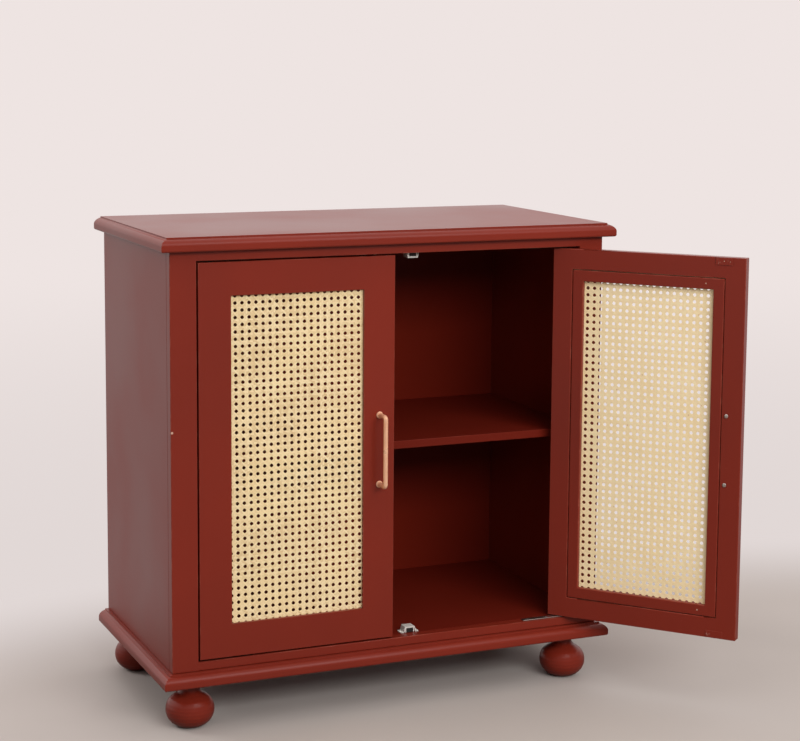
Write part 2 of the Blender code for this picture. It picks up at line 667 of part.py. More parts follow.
def build_door(side, hand, opening):
    """One door, on an empty that stands on its pivot axis and turns it open."""
    hinge = new_empty(side + "_door_hinge", (hand * PIVOT_X, PIVOT_Y, 0), CABINET)
    hinge.rotation_euler.z = hand * opening
    title = side + "_door_"

    def at(across, inward, height):
        """Across runs from the hinge edge to the meeting edge, inward from the outer face."""
        return Vector((hand * (PIVOT_INSET - across), inward - PIVOT_Y, height))

    # The four frame members, with one rebate all round for the cane
    rail_start, rail_end = MEMBER_WIDTH + CLEARANCE, DOOR_WIDTH - MEMBER_WIDTH - CLEARANCE
    outlines = {
        "stile_hinge": (0, MEMBER_WIDTH, DOOR_BOTTOM, DOOR_TOP),
        "stile_meeting": (DOOR_WIDTH - MEMBER_WIDTH, DOOR_WIDTH, DOOR_BOTTOM, DOOR_TOP),
        "rail_bottom": (rail_start, rail_end, DOOR_BOTTOM, DOOR_BOTTOM + MEMBER_WIDTH),
        "rail_top": (rail_start, rail_end, DOOR_TOP - MEMBER_WIDTH, DOOR_TOP),
    }
    frame = {}
    for piece, (near, far, low, high) in outlines.items():
        frame[piece] = board(title + piece, at(near, 0, low), at(far, DOOR_THICKNESS, high),
                             red_paint, hinge)
    rebate = board_cutter(title + "rebate",
                          at(REBATE_INSET, LIP_THICKNESS, DOOR_BOTTOM + REBATE_INSET),
                          at(DOOR_WIDTH - REBATE_INSET, DOOR_THICKNESS + OVERRUN,
                             DOOR_TOP - REBATE_INSET), hinge)
    combine("DIFFERENCE", rebate, *frame.values())

    # A tenon at both ends of each rail, in mortises in the stiles
    for piece, edge, inward in (("rail_bottom", DOOR_BOTTOM, 1), ("rail_top", DOOR_TOP, -1)):
        for purpose, room in (("tenon", 0), ("mortise", CLEARANCE)):
            start = MEMBER_WIDTH - TENON_LENGTH - room
            half_depth = TENON_THICKNESS / 2 + room
            low = edge + inward * (TENON_SHOULDER - room)
            high = edge + inward * (REBATE_INSET - TENON_SHOULDER + room)
            tool = board_cutter(title + piece + "_" + purpose, at(start, PIVOT_Y - half_depth, low),
                                at(DOOR_WIDTH - start, PIVOT_Y + half_depth, high), hinge)
            if purpose == "tenon":
                combine("UNION", tool, frame[piece])
            else:
                combine("DIFFERENCE", tool, frame["stile_hinge"], frame["stile_meeting"])

    # The cane and the strips that hold it, with brads that go through it into the frame's lip
    cane = place(title + "cane", CANE, woven_cane,
                 at(DOOR_WIDTH / 2, LIP_THICKNESS + CLEARANCE + CANE_THICKNESS / 2,
                    (DOOR_BOTTOM + DOOR_TOP) / 2), hinge, (math.pi / 2, 0, 0))
    sheet = cane.modifiers.new("sheet", "SOLIDIFY")
    sheet.thickness = CANE_THICKNESS
    sheet.offset = 0
    outer = REBATE_INSET + STRIP_GAP
    strip_outlines = {
        "strip_hinge": (outer, MEMBER_WIDTH, DOOR_BOTTOM + outer, DOOR_TOP - outer),
        "strip_meeting": (DOOR_WIDTH - MEMBER_WIDTH, DOOR_WIDTH - outer, DOOR_BOTTOM + outer,
                          DOOR_TOP - outer),
        "strip_bottom": (rail_start, rail_end, DOOR_BOTTOM + outer, DOOR_BOTTOM + MEMBER_WIDTH),
        "strip_top": (rail_start, rail_end, DOOR_TOP - MEMBER_WIDTH, DOOR_TOP - outer),
    }
    brad_seats = []
    for piece, (near, far, low, high) in strip_outlines.items():
        strip = board(title + piece, at(near, STRIP_FRONT, low), at(far, STRIP_BACK, high),
                      red_paint, hinge)
        across, up = (near + far) / 2, (low + high) / 2
        if high - low > far - near:
            spots = [(across, low + BRAD_INSET), (across, up), (across, high - BRAD_INSET)]
        else:
            spots = [(near + BRAD_INSET, up), (far - BRAD_INSET, up)]
        strip_seats = [seat(at(x, 0, z), (0, 1, 0)) for x, z in spots]
        brads = place_cutter(title + piece + "_brads",
                             repeated_mesh(title + piece + "_brads", BRAD, strip_seats),
                             parent=hinge)
        combine("UNION", brads, strip)
        brad_seats += strip_seats
    drill(title + "brad_holes", BRAD_HOLE, brad_seats, cane, *frame.values(), parent=hinge)

    # Bushes in the ends of the hinge stile, round the pivot pins
    bush_seats = [seat(at(PIVOT_INSET, PIVOT_Y, DOOR_BOTTOM)),
                  seat(at(PIVOT_INSET, PIVOT_Y, DOOR_TOP), (0, 0, -1))]
    for level, spot in zip(("bottom", "top"), bush_seats):
        place(title + "bush_" + level, BUSH, bright_steel, spot.to_translation(), hinge,
              spot.to_euler())
    drill(title + "bush_holes", BUSH_HOLE, bush_seats, frame["stile_hinge"], parent=hinge)

    # The handle outside the meeting stile, with its screws put in from inside
    handle_across = DOOR_WIDTH - HANDLE_INSET
    handle_height = (DOOR_BOTTOM + DOOR_TOP) / 2
    post_heights = (handle_height - HANDLE_PITCH / 2, handle_height + HANDLE_PITCH / 2)
    handle = place(title + "handle", HANDLE, rose_brass, at(handle_across, 0, handle_height),
                   hinge)
    collar_seats = [seat(at(handle_across, 0, height), (0, -1, 0)) for height in post_heights]
    collars = place_cutter(title + "collars",
                           repeated_mesh(title + "collars", COLLAR, collar_seats), parent=hinge)
    combine("UNION", collars, handle)
    screw_seats = [seat(at(handle_across, DOOR_THICKNESS + CLEARANCE, height), (0, 1, 0))
                   for height in post_heights]
    for level, spot in zip(("bottom", "top"), screw_seats):
        place(title + "handle_screw_" + level, HANDLE_SCREW, bright_steel,
              spot.to_translation(), hinge, spot.to_euler())
    drill(title + "handle_screw_holes", HANDLE_SCREW_HOLE, screw_seats, handle,
          frame["stile_meeting"], parent=hinge)

    # Strike plates on the inner face, opposite the catches
    strike_middle = DOOR_WIDTH + DOOR_GAP / 2 - CATCH_OFFSET
    strike_front = DOOR_THICKNESS + CLEARANCE
    for level, edge, inward in (("bottom", DOOR_BOTTOM, 1), ("top", DOOR_TOP, -1)):
        near_edge = edge + inward * STRIKE_INSET
        board(title + "strike_" + level,
              at(strike_middle - STRIKE_WIDTH / 2, strike_front, near_edge),
              at(strike_middle + STRIKE_WIDTH / 2, strike_front + STRIKE_THICKNESS,
                 near_edge + inward * STRIKE_HEIGHT), red_paint, hinge)


build_door("left", -1, LEFT_DOOR_OPENING)
build_door("right", 1, RIGHT_DOOR_OPENING)


def footprint_middle():
    """The middle of the whole part in plan, from every piece as it stands."""
    bpy.context.view_layer.update()
    points = []
    for piece in PARTS.objects:
        if piece.type == "MESH":
            points += [piece.matrix_world @ vert.co for vert in evaluated_mesh(piece).vertices]
    return [(min(axis) + max(axis)) / 2 for axis in list(zip(*points))[:2]]


middle_x, middle_y = footprint_middle()
CABINET.location = (-middle_x, -middle_y, 0)
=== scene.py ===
"""Finishes and fine pieces of a two-door cane cabinet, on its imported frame. Metres, +Z up."""

import math
import random

import bmesh
import bpy
from mathutils import Matrix, Vector


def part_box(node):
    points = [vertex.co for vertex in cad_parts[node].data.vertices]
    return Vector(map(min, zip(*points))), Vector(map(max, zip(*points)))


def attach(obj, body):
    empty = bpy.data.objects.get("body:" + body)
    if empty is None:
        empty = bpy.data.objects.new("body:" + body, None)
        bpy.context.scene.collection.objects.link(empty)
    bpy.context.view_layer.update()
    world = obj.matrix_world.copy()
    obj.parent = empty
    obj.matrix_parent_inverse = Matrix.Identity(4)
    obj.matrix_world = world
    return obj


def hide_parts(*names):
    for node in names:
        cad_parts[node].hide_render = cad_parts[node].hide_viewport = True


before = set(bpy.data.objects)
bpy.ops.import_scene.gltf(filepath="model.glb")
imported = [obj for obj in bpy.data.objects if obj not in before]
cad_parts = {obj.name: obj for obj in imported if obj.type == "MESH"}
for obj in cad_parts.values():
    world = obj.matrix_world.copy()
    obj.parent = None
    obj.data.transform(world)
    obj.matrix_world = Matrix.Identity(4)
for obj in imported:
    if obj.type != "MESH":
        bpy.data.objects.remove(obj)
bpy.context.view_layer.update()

# How far edges are eased, and in how many steps
ARRIS = 0.0011
PANEL_ARRIS = ARRIS / 2
SMALL_ARRIS = ARRIS / 3
POLE_ARRIS = ARRIS / 4
ARRIS_STEPS = 3
FINE_STEPS = 2
ROUND_PROFILE = 0.5

# The angle past which an edge stays sharp, how squarely a face looks along an axis to count as
# flat, the distance within which two places are one, and the clearance between neighbours
SMOOTH_LIMIT = math.radians(40)
FLAT_LIMIT = 0.999
WELD = 0.00002
GAP = 0.0003

# Moulded edge of the top board and the base board. Shares are of the board's thickness
NOSE_OVERHANG = 0.0195
FLAT_OVERHANG = 0.0065
QUIRK_LEDGE = 0.001
QUIRK_SHARE = 0.08
LEDGE_FALL_SHARE = 0.02
NOSE_ROUND_SHARE = 0.15
NOSE_FACE_SHARE = 0.27
OVOLO_TURN = math.radians(63)
MOULDING_STEPS = 9
MITRE_EASE = 0.0007

# Doors, measured across from the hinge edge and inwards from the outer face
DOOR_WIDTH = 0.3705
DOOR_THICKNESS = 0.019
MEMBER_WIDTH = 0.060
REBATE_INSET = 0.038
LIP_THICKNESS = 0.007
PIVOT_INSET = 0.021
RIGHT_DOOR_OPENING = math.radians(130.5)
UPRIGHT_BORDERS = ("hinge", "meeting")

# Strips that hold the cane, the profile of their brads as (radius, height), and strike plates
STRIP_GAP = 0.0012
STRIP_FRONT = 0.0092
STRIP_ARRIS = 0.0015
BRAD_INSET = 0.014
BRAD_PROFILE = ((0, 0.0002), (0.0007, 0.00016), (0.0010, 0), (0, -0.0002))
BRAD_STEPS = 12
STRIKE_WIDTH = 0.032
STRIKE_HEIGHT = 0.013
STRIKE_THICKNESS = 0.001
STRIKE_INSET = 0.001
STRIKE_MIDDLE = 0.330

# Woven cane: one cell of the weave, its strands, the cells woven past the sheet before it is
# cut, and for each door the place of the first hole, how far the weave drifts sideways, and
# the range and seed of the strands' tones, set paler for the open door as painted light
CELL_ACROSS = 0.01293
CELL_UP = 0.01281
PAIR_HALF = 0.00172
STRAND_WIDTH = 0.0032
STRAND_CROWN = 0.00045
WEAVE_LIFT = 0.00025
SLANT_LIFT = 0.0005
SLANT_REST_SHARE = 0.24
SPARE_CELLS = 3
CUT_END_SIDES = 6
CANE_DEPTH = 0.0081
CANE_BORDER = 0.0388
LEFT_WEAVE = ((0.0695, 0.7660), 0.0096, (0, 0.7), 11)
# The right door's paler tones are painted light, for its open cane lit from behind
RIGHT_WEAVE = ((0.0660, 0.7670), 0, (0.75, 1), 12)

# Bow handles, and the profile of their collars as (radius, height)
HANDLE_PITCH = 0.128
HANDLE_STANDOFF = 0.0293
HANDLE_RADIUS = 0.0041
HANDLE_BEND = 0.0055
HANDLE_SETBACK = 0.029
HANDLE_SIDES = 28
HANDLE_BEND_STEPS = 10
COLLAR_PROFILE = ((0.0, 0.0003), (0.0064, 0.0003), (0.0064, 0.0012), (0.0061, 0.0018), (0.0050, 0.0023),
                  (0.0046, 0.0033), (0.0, 0.0033))

# Screws. Shares are of the head's radius or height
SCREW_STEPS = 28
HANDLE_HEAD_RADIUS = 0.004
HANDLE_HEAD_HEIGHT = 0.0022
DOME_STEPS = 8
DOME_FOOT_SHARE = 0.3
FLAT_TOP_SHARE = 0.94
FLAT_RIM_SHARE = 0.4
CROSS_WIDTH_SHARE = 0.26
CROSS_REACH_SHARE = 0.58
CROSS_DEPTH_SHARE = 0.62

# Magnetic catches
CATCH_WIDTH = 0.037
CATCH_BODY_WIDTH = 0.025
CATCH_SHOULDER = 0.002
CATCH_HEIGHT = 0.0115
CATCH_DEPTH = 0.018
CATCH_SHEET = 0.0012
CATCH_FOLD = 0.0011
CATCH_FOLD_STEPS = 4
CATCH_EAR_ROUND = 0.003
CATCH_EAR_STEPS = 5
CATCH_HEAD_RADIUS = 0.0023
CATCH_HEAD_HEIGHT = 0.0012
POLE_PLATE = 0.0020
POLE_ROOF = 0.0014
POLE_SETBACK = 0.0004

# Pivot plates and bushes
PLATE_THICKNESS = 0.0014
PLATE_WIDTH = 0.012
PLATE_LENGTH = 0.104
PLATE_OUTER_REACH = 0.023
PLATE_CORNER = 0.004
PLATE_CORNER_STEPS = 6
PLATE_EASE = 0.00035
PLATE_SCREW_PLACES = (-0.069, -0.029)
PLATE_HEAD_RADIUS = 0.0028
PLATE_HEAD_HEIGHT = 0.0003
PIN_RADIUS = 0.003
PIN_REACH = 0.008
PIN_CHAMFER = 0.0006
BUSH_BORE = 0.0033
BUSH_RADIUS = 0.005
BUSH_LENGTH = 0.010
FLANGE_RADIUS = 0.007
FLANGE_THICKNESS = 0.0007

# Bun feet: share of the radius, share of the height, from the neck down
FOOT_RADIUS = 0.0438
FOOT_HEIGHT = 0.088
FOOT_STEPS = 56
FOOT_ROUND_STEPS = 4
FOOT_OUTLINE_SHARES = (
    (0.40, 0.82), (0.43, 0.75), (0.52, 0.69), (0.68, 0.64), (0.84, 0.575), (0.95, 0.485),
    (1.0, 0.37), (0.975, 0.255), (0.88, 0.155), (0.72, 0.072), (0.52, 0.018), (0.40, 0.0),
)


# Meshes


def new_work():
    """An empty bmesh with a face layer that marks eased edges."""
    bm = bmesh.new()
    bm.faces.layers.float.new("wear_and_highlight")
    return bm


def mesh_of(bm, name):
    """The shape of a bmesh as a mesh. The bmesh is used up."""
    mesh = bpy.data.meshes.new(name)
    bm.to_mesh(mesh)
    bm.free()
    return mesh


def in_scene(name, data):
    """An object in the scene for a mesh, a lamp or a camera."""
    holder = bpy.data.objects.new(name, data)
    bpy.context.scene.collection.objects.link(holder)
    return holder


def block(start, end):
    """A square-edged block between two opposite corners."""
    bm = new_work()
    low, high = Vector(map(min, start, end)), Vector(map(max, start, end))
    bmesh.ops.create_cube(bm, size=1)
    bmesh.ops.scale(bm, vec=high - low, verts=bm.verts)
    bmesh.ops.translate(bm, vec=(low + high) / 2, verts=bm.verts)
    return bm


def sharp_edges(bm, spared=()):
    """Edges to ease, without those that lie on a spared plane, given as (axis, place)."""
    found = []
    for edge in bm.edges:
        if not edge.is_manifold or edge.calc_face_angle() < SMOOTH_LIMIT:
            continue
        if any(all(abs(vert.co[axis] - place) < WELD for vert in edge.verts)
               for axis, place in spared):
            continue
        found.append(edge)
    return found


def rounded(bm, geom, width, steps, affect="EDGES", clamp=False):
    """Rounds edges or corners over and gives the new faces."""
    return bmesh.ops.bevel(bm, geom=geom, offset=width, offset_type="OFFSET", segments=steps,
                           profile=ROUND_PROFILE, affect=affect, material=-1,
                           clamp_overlap=clamp)["faces"]


def ease(bm, edges, width=ARRIS, steps=ARRIS_STEPS):
    """Rounds edges over and marks the round for wear and a painted highlight."""
    faces = rounded(bm, edges, width, steps, clamp=True)
    wear_and_highlight = bm.faces.layers.float["wear_and_highlight"]
    for face in faces:
        face.smooth = True
        face[wear_and_highlight] = 1


def eased_block(start, end, spared=(), width=ARRIS):
    """A block with its edges eased, apart from those on spared planes."""
    bm = block(start, end)
    ease(bm, sharp_edges(bm, spared), width)
    return bm


def slice_through(bm, point, normal, clear=False):
    """Cuts a bmesh's faces along a plane, and takes away what is past it if asked."""
    bmesh.ops.bisect_plane(bm, geom=bm.verts[:] + bm.edges[:] + bm.faces[:], plane_co=point,
                           plane_no=normal, clear_outer=clear)


def split_at(bm, heights):
    """Cuts a post's faces at two heights, so that an eased edge can start and end there."""
    for height in heights:
        slice_through(bm, (0, 0, height), (0, 0, 1))
    return bm


def beside_rail(edge, inner_sides, opening):
    """Whether an upright edge on an inner side of a post is past the opening, at a rail."""
    middle = (edge.verts[0].co + edge.verts[1].co) / 2
    inner = any(abs(middle.x - x) < WELD for x in inner_sides)
    return inner and not opening[0] < middle.z < opening[1]


def smooth_round(bm):
    """Turns all faces outwards and shades them smoothly between the sharp edges."""
    bmesh.ops.recalc_face_normals(bm, faces=bm.faces)
    for face in bm.faces:
        face.smooth = True
    for edge in bm.edges:
        edge.smooth = edge.is_manifold and edge.calc_face_angle() < SMOOTH_LIMIT


def extruded(bm, rim):
    """Doubles a row of edges, with faces between, and gives its new corners and new row."""
    made = bmesh.ops.extrude_edge_only(bm, edges=rim)["geom"]
    return ([item for item in made if isinstance(item, bmesh.types.BMVert)],
            [item for item in made if isinstance(item, bmesh.types.BMEdge)])


def close_ends(bm, sides):
    """Fills the open ends, which have at most so many sides."""
    bmesh.ops.holes_fill(bm, edges=[edge for edge in bm.edges if edge.is_boundary], sides=sides)
    smooth_round(bm)


def turned(profile, steps=SCREW_STEPS, ring=False):
    """Spins a profile of (radius, height) points round Z. A ring's profile closes on itself."""
    bm = new_work()
    verts = [bm.verts.new((radius, 0, height)) for radius, height in profile]
    ends = verts[1:] + verts[:1] if ring else verts[1:]
    edges = [bm.edges.new(pair) for pair in zip(verts, ends)]
    bmesh.ops.spin(bm, geom=verts + edges, cent=(0, 0, 0), axis=(0, 0, 1), angle=math.tau,
                   steps=steps, use_merge=True)
    bmesh.ops.remove_doubles(bm, verts=bm.verts, dist=WELD)
    smooth_round(bm)
    return bm


def line_through(points, steps):
    """A smooth line through the points, with some steps between each two of them."""
    ends = [points[0], *points, points[-1]]
    line = []
    for before, start, end, after in zip(ends, ends[1:], ends[2:], ends[3:]):
        for step in range(steps):
            t = step / steps
            line.append(tuple(
                (2 * b + (c - a) * t + (2 * a - 5 * b + 4 * c - d) * t ** 2
                 + (3 * b - a - 3 * c + d) * t ** 3) / 2
                for a, b, c, d in zip(before, start, end, after)))
    return line + [points[-1]]


def drawn(ring_sides, radius, stations):
    """A round rod drawn through a row of placing matrices, closed at both ends."""
    bm = new_work()
    bmesh.ops.create_circle(bm, cap_ends=False, segments=ring_sides, radius=radius)
    bmesh.ops.transform(bm, matrix=stations[0], verts=bm.verts)
    rim = list(bm.edges)
    for here, there in zip(stations, stations[1:]):
        verts, rim = extruded(bm, rim)
        bmesh.ops.transform(bm, matrix=there @ here.inverted(), verts=verts)
    close_ends(bm, ring_sides)
    return bm


def joined(*works):
    """Several bmeshes as one."""
    whole = new_work()
    for bm in works:
        mesh = mesh_of(bm, "joined")
        whole.from_mesh(mesh)
        bpy.data.meshes.remove(mesh)
    return whole


def copies(bm, places):
    """Copies of one bmesh at several placing matrices, as one."""
    mesh = mesh_of(bm, "copies")
    whole = new_work()
    for place in places:
        copy = mesh.copy()
        copy.transform(place)
        whole.from_mesh(copy)
        bpy.data.meshes.remove(copy)
    bpy.data.meshes.remove(mesh)
    return whole


def cut(bm, *tools):
    """Takes tool shapes out of a bmesh."""
    stock, *cutters = (in_scene("bench", mesh_of(work, "bench")) for work in (bm, *tools))
    for cutter in cutters:
        modifier = stock.modifiers.new("cut", "BOOLEAN")
        modifier.object = cutter
    result = bpy.data.meshes.new_from_object(
        stock.evaluated_get(bpy.context.evaluated_depsgraph_get()))
    whole = new_work()
    whole.from_mesh(result)
    bpy.data.meshes.remove(result)
    for piece in (stock, *cutters):
        bpy.data.objects.remove(piece)
    return whole


def seat(point, axis=(0, 0, 1)):
    """Where a shape made on Z goes: its foot at a point, its +Z along an axis."""
    return Matrix.Translation(point) @ Vector(axis).to_track_quat("Z", "Y").to_matrix().to_4x4()


def finished(node, bm, finish, body, place=Matrix()):
    """Makes a bmesh the finished piece that stands for a CAD node and rides on its body."""
    bmesh.ops.transform(bm, matrix=place, verts=bm.verts)
    if place.determinant() < 0:
        bmesh.ops.reverse_faces(bm, faces=bm.faces)
    mesh = mesh_of(bm, "finished_" + node)
    mesh.materials.append(finish)
    piece = in_scene("finished_" + node, mesh)
    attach(piece, body)
    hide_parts(node)


# Finishes

# From a colour as it is seen, 0 to 1, to linear light
SEEN_TOE = 0.055
SEEN_POWER = 2.4


def seen(red, green, blue):
    """A colour as the eye sees it, 0 to 255, in linear light."""
    return tuple(((c / 255 + SEEN_TOE) / (1 + SEEN_TOE)) ** SEEN_POWER
                 for c in (red, green, blue)) + (1,)


def shaded(colour, share):
    """A colour made darker or lighter."""
    return tuple(min(c * share, 1) for c in colour[:3]) + (1,)


class Level:
    """A number that changes from place to place. Sums on it add Math nodes."""

    def __init__(self, tree, socket):
        self.tree, self.socket = tree, socket

    def sum(self, operation, first, second):
        """A Math node on two values."""
        return self.tree.add("ShaderNodeMath", {"operation": operation}, {0: first, 1: second})

    def __add__(self, other):
        return self.sum("ADD", self, other)

    def __radd__(self, other):
        return self.sum("ADD", other, self)

    def __sub__(self, other):
        return self.sum("SUBTRACT", self, other)

    def __rsub__(self, other):
        return self.sum("SUBTRACT", other, self)

    def __mul__(self, other):
        return self.sum("MULTIPLY", self, other)

    def __rmul__(self, other):
        return self.sum("MULTIPLY", other, self)

    def between(self, low, high, start=0, end=1):
        """Runs smoothly from start to end while this goes from low to high."""
        return self.tree.add("ShaderNodeMapRange", {"interpolation_type": "SMOOTHSTEP"},
                             {0: self, 1: low, 2: high, 3: start, 4: end})


class Tree:
    """The nodes of a material or of the room's light."""

    def __init__(self, owner):
        owner.use_nodes = True
        self.nodes, self.links = owner.node_tree.nodes, owner.node_tree.links

    def feed(self, socket, value):
        """Links a changing value to a socket, or sets a constant on it."""
        if isinstance(value, Level):
            self.links.new(value.socket, socket)
        else:
            socket.default_value = value

    def add(self, kind, settings, sockets, output=0):
        """One node: its settings first, then the values or links of its sockets."""
        node = self.nodes.new(kind)
        for setting, value in settings.items():
            setattr(node, setting, value)
        for socket, value in sockets.items():
            self.feed(node.inputs[socket], value)
        return Level(self, node.outputs[output])

    def ray(self, kind):
        """1 for rays of one kind, and 0 for all others."""
        return self.add("ShaderNodeLightPath", {}, {}, kind)


class Finish(Tree):
    """One material, with the nodes that make its pattern."""

    def __init__(self, name, **constants):
        self.material = bpy.data.materials.new(name)
        super().__init__(self.material)
        self.shader = self.nodes["Principled BSDF"]
        self.done(**constants)

    def place(self):
        """Where each point of the surface is, in metres."""
        return self.add("ShaderNodeTexCoord", {}, {}, "Object")

    def stretched(self, scale):
        """Those places scaled by a different amount along each axis."""
        return self.add("ShaderNodeMapping", {}, {"Vector": self.place(), "Scale": scale})

    def noise(self, vector, scale, detail, roughness=0.5):
        """Soft blotches, from 0 to 1."""
        return self.add("ShaderNodeTexNoise", {}, {
            "Vector": vector, "Scale": scale, "Detail": detail, "Roughness": roughness})

    def specks(self, vector, scale):
        """Distance from the nearest of many scattered points, in cells."""
        return self.add("ShaderNodeTexVoronoi", {}, {"Vector": vector, "Scale": scale})

    def ripples(self, vector, scale, distortion, detail):
        """Uneven level bands."""
        return self.add("ShaderNodeTexWave", {"wave_type": "BANDS", "bands_direction": "Z"}, {
            "Vector": vector, "Scale": scale, "Distortion": distortion, "Detail": detail}, "Fac")

    def mark(self, name):
        """A value that the mesh holds for each face or corner."""
        return self.add("ShaderNodeAttribute", {"attribute_name": name}, {}, "Fac")

    def mixed(self, share, first, second):
        """A colour part of the way from the first to the second."""
        return self.add("ShaderNodeMix", {"data_type": "RGBA"}, {0: share, 6: first, 7: second}, 2)

    def bump(self, height, distance, strength):
        """The surface's direction, tilted by a relief of so many metres."""
        return self.add("ShaderNodeBump", {}, {
            "Height": height, "Distance": distance, "Strength": strength})

    def apart(self, point):
        """How far each place of the surface is from a point."""
        return self.add("ShaderNodeVectorMath", {"operation": "DISTANCE"},
                        {0: self.place(), 1: point}, "Value")

    def done(self, **sockets):
        """Feeds the shader's sockets, named with underscores, and gives the material."""
        for socket, value in sockets.items():
            self.feed(self.shader.inputs[socket.replace("_", " ")], value)
        return self.material


# A band gives two levels of a pattern and what they are turned into, which is 0 and 1 if no
# more is said. A spread gives what is added at both ends of the sheen's band
SHEEN_BAND = (0.3, 0.7)
NOISE_MIDDLE = 0.5

# Satin paint, its chips, its scuffs, and its rubbed edges with a painted highlight
PAINT_CLOUD_BAND = (0.32, 0.68)
PAINT_SHADES = (0.93, 1.06)
RUB_AND_HIGHLIGHT_BAND = (0.46, 0.70, 0.10, 0.62)
RUB_ROUGHNESS = 0.10
NIB_BAND = (0.028, 0.050, 1, 0)
NIB_RUB_BAND = (0.52, 0.60)
NIB_TINT = 0.35
SCUFF_GRAIN = (150, 150, 60)
SCUFF_BAND = (0.62, 0.70)
SCUFF_COLOUR = seen(188, 150, 134)
CHIP_RAGGED_SHARE = 1.6
CHIP_BARE_SHARE = 0.8
CHIP_COLOUR = seen(206, 168, 146)
GLOSS_SPREAD = (-0.03, 0.04)
LACQUER_SHARES = (1.24, 0.76)
MARK_DEPTH = -3


def paint(name, colour, rub_and_highlight_colour, gloss, lacquer=0.21, chips=(), scuffs=0, turning=0):
    """Satin paint, clouded and sprayed, with rubbed edges that also get a painted highlight, dust nibs
    and any further marks.
    """
    finish = Finish(name, Specular_IOR_Level=0.22, Coat_Roughness=0.22)
    place = finish.place()
    cloud = finish.noise(place, scale=3.1, detail=3)
    skin = finish.noise(place, scale=420, detail=2)
    rub = finish.noise(place, scale=38, detail=4, roughness=0.62)
    tone = finish.mixed(cloud.between(*PAINT_CLOUD_BAND),
                        *(shaded(colour, share) for share in PAINT_SHADES))
    # Eased edges turn paler: rubbed paint, and a painted highlight where the round catches light
    rub_and_highlight = finish.mark("wear_and_highlight") * rub.between(*RUB_AND_HIGHLIGHT_BAND)
    tone = finish.mixed(rub_and_highlight, tone, rub_and_highlight_colour)
    nib = finish.specks(place, scale=46).between(*NIB_BAND) * rub.between(*NIB_RUB_BAND)
    tone = finish.mixed(nib * NIB_TINT, tone, rub_and_highlight_colour)
    marked = nib
    if scuffs:
        scuff = finish.noise(finish.stretched(SCUFF_GRAIN), scale=1, detail=3,
                             roughness=0.7).between(*SCUFF_BAND)
        tone = finish.mixed(scuff * scuffs, tone, SCUFF_COLOUR)
        marked = marked + scuff
    for point, radius in chips:
        ragged = finish.apart(point) + (rub - NOISE_MIDDLE) * (radius * CHIP_RAGGED_SHARE)
        chip = ragged.between(radius * CHIP_BARE_SHARE, radius, 1, 0)
        tone = finish.mixed(chip, tone, CHIP_COLOUR)
        marked = marked + chip
    relief = skin + marked * MARK_DEPTH
    if turning:
        relief = relief + turning * finish.ripples(place, scale=46, distortion=1.2, detail=1)
    rough = cloud.between(*SHEEN_BAND, *(gloss + change for change in GLOSS_SPREAD))
    coat = cloud.between(*SHEEN_BAND, *(lacquer * share for share in LACQUER_SHARES))
    return finish.done(Base_Color=tone, Roughness=rough + rub_and_highlight * RUB_ROUGHNESS,
                       Coat_Weight=coat,
                       Normal=finish.bump(relief, distance=0.00004, strength=0.6))


# Peeled cane, with a faint painted glow
CANE_TONES = (seen(222, 193, 145), seen(254, 235, 192))
CANE_CLOUD_BAND = (0.36, 0.70, 0, 0.45)
CANE_CLOUD_COLOUR = seen(246, 221, 168)
FIBRE_BAND = (0.50, 0.80, 0, 0.30)
FIBRE_COLOUR = seen(218, 182, 124)
KNOT_BAND = (0.04, 0.10, 0.40, 0)
KNOT_COLOUR = seen(168, 122, 70)
CANE_ROUGHNESS = (0.42, 0.56)


def straw(name):
    """Peeled cane: strands of several tones, fibres and knots, and a faint painted glow for light
    through them.
    """
    # The emission is a painted glow, standing in for light shining through the thin strands
    finish = Finish(name, Specular_IOR_Level=0.45, Emission_Strength=0.10)
    place = finish.place()
    fibre = finish.noise(place, scale=900, detail=3, roughness=0.6)
    cloud = finish.noise(place, scale=16, detail=3)
    tone = finish.mixed(finish.mark("tone"), *CANE_TONES)
    tone = finish.mixed(cloud.between(*CANE_CLOUD_BAND), tone, CANE_CLOUD_COLOUR)
    tone = finish.mixed(fibre.between(*FIBRE_BAND), tone, FIBRE_COLOUR)
    knot = finish.specks(place, scale=46).between(*KNOT_BAND)
    tone = finish.mixed(knot, tone, KNOT_COLOUR)
    return finish.done(Base_Color=tone, Emission_Color=tone,
                       Roughness=cloud.between(*SHEEN_BAND, *CANE_ROUGHNESS),
                       Normal=finish.bump(fibre, distance=0.00008, strength=0.5))


# Plated and brushed metal
PLATING_BAND = (0.35, 0.75)
SPOT_BAND = (0.04, 0.12, 1, 0)
SPOT_TINT = 0.25
SPOT_ROUGHNESS = 0.12
METAL_SPREAD = (-0.04, 0.07)


def metal(name, colour, dull_colour, roughness, grain, metallic=1):
    """A plated or brushed metal, with clouded plating, fine lines and duller spots."""
    finish = Finish(name, Metallic=metallic)
    place = finish.place()
    cloud = finish.noise(place, scale=60, detail=3)
    line = finish.noise(finish.stretched(grain), scale=1, detail=2)
    spot = finish.specks(place, scale=190).between(*SPOT_BAND)
    tone = finish.mixed(cloud.between(*PLATING_BAND), colour, dull_colour)
    tone = finish.mixed(spot * SPOT_TINT, tone, dull_colour)
    rough = cloud.between(*SHEEN_BAND, *(roughness + change for change in METAL_SPREAD))
    return finish.done(Base_Color=tone, Roughness=rough + spot * SPOT_ROUGHNESS,
                       Normal=finish.bump(line, distance=0.00003, strength=0.5))


# Magnet
MAGNET_BAND = (0.4, 0.7)
MAGNET_TONES = (seen(28, 26, 26), seen(58, 55, 54))
MAGNET_ROUGHNESS = (0.55, 0.75)


def sintered(name):
    """Black magnet material with a fine dull grain."""
    finish = Finish(name)
    grain = finish.noise(finish.place(), scale=900, detail=3)
    return finish.done(Base_Color=finish.mixed(grain.between(*MAGNET_BAND), *MAGNET_TONES),
                       Roughness=grain.between(*SHEEN_BAND, *MAGNET_ROUGHNESS),
                       Normal=finish.bump(grain, distance=0.00006, strength=0.6))


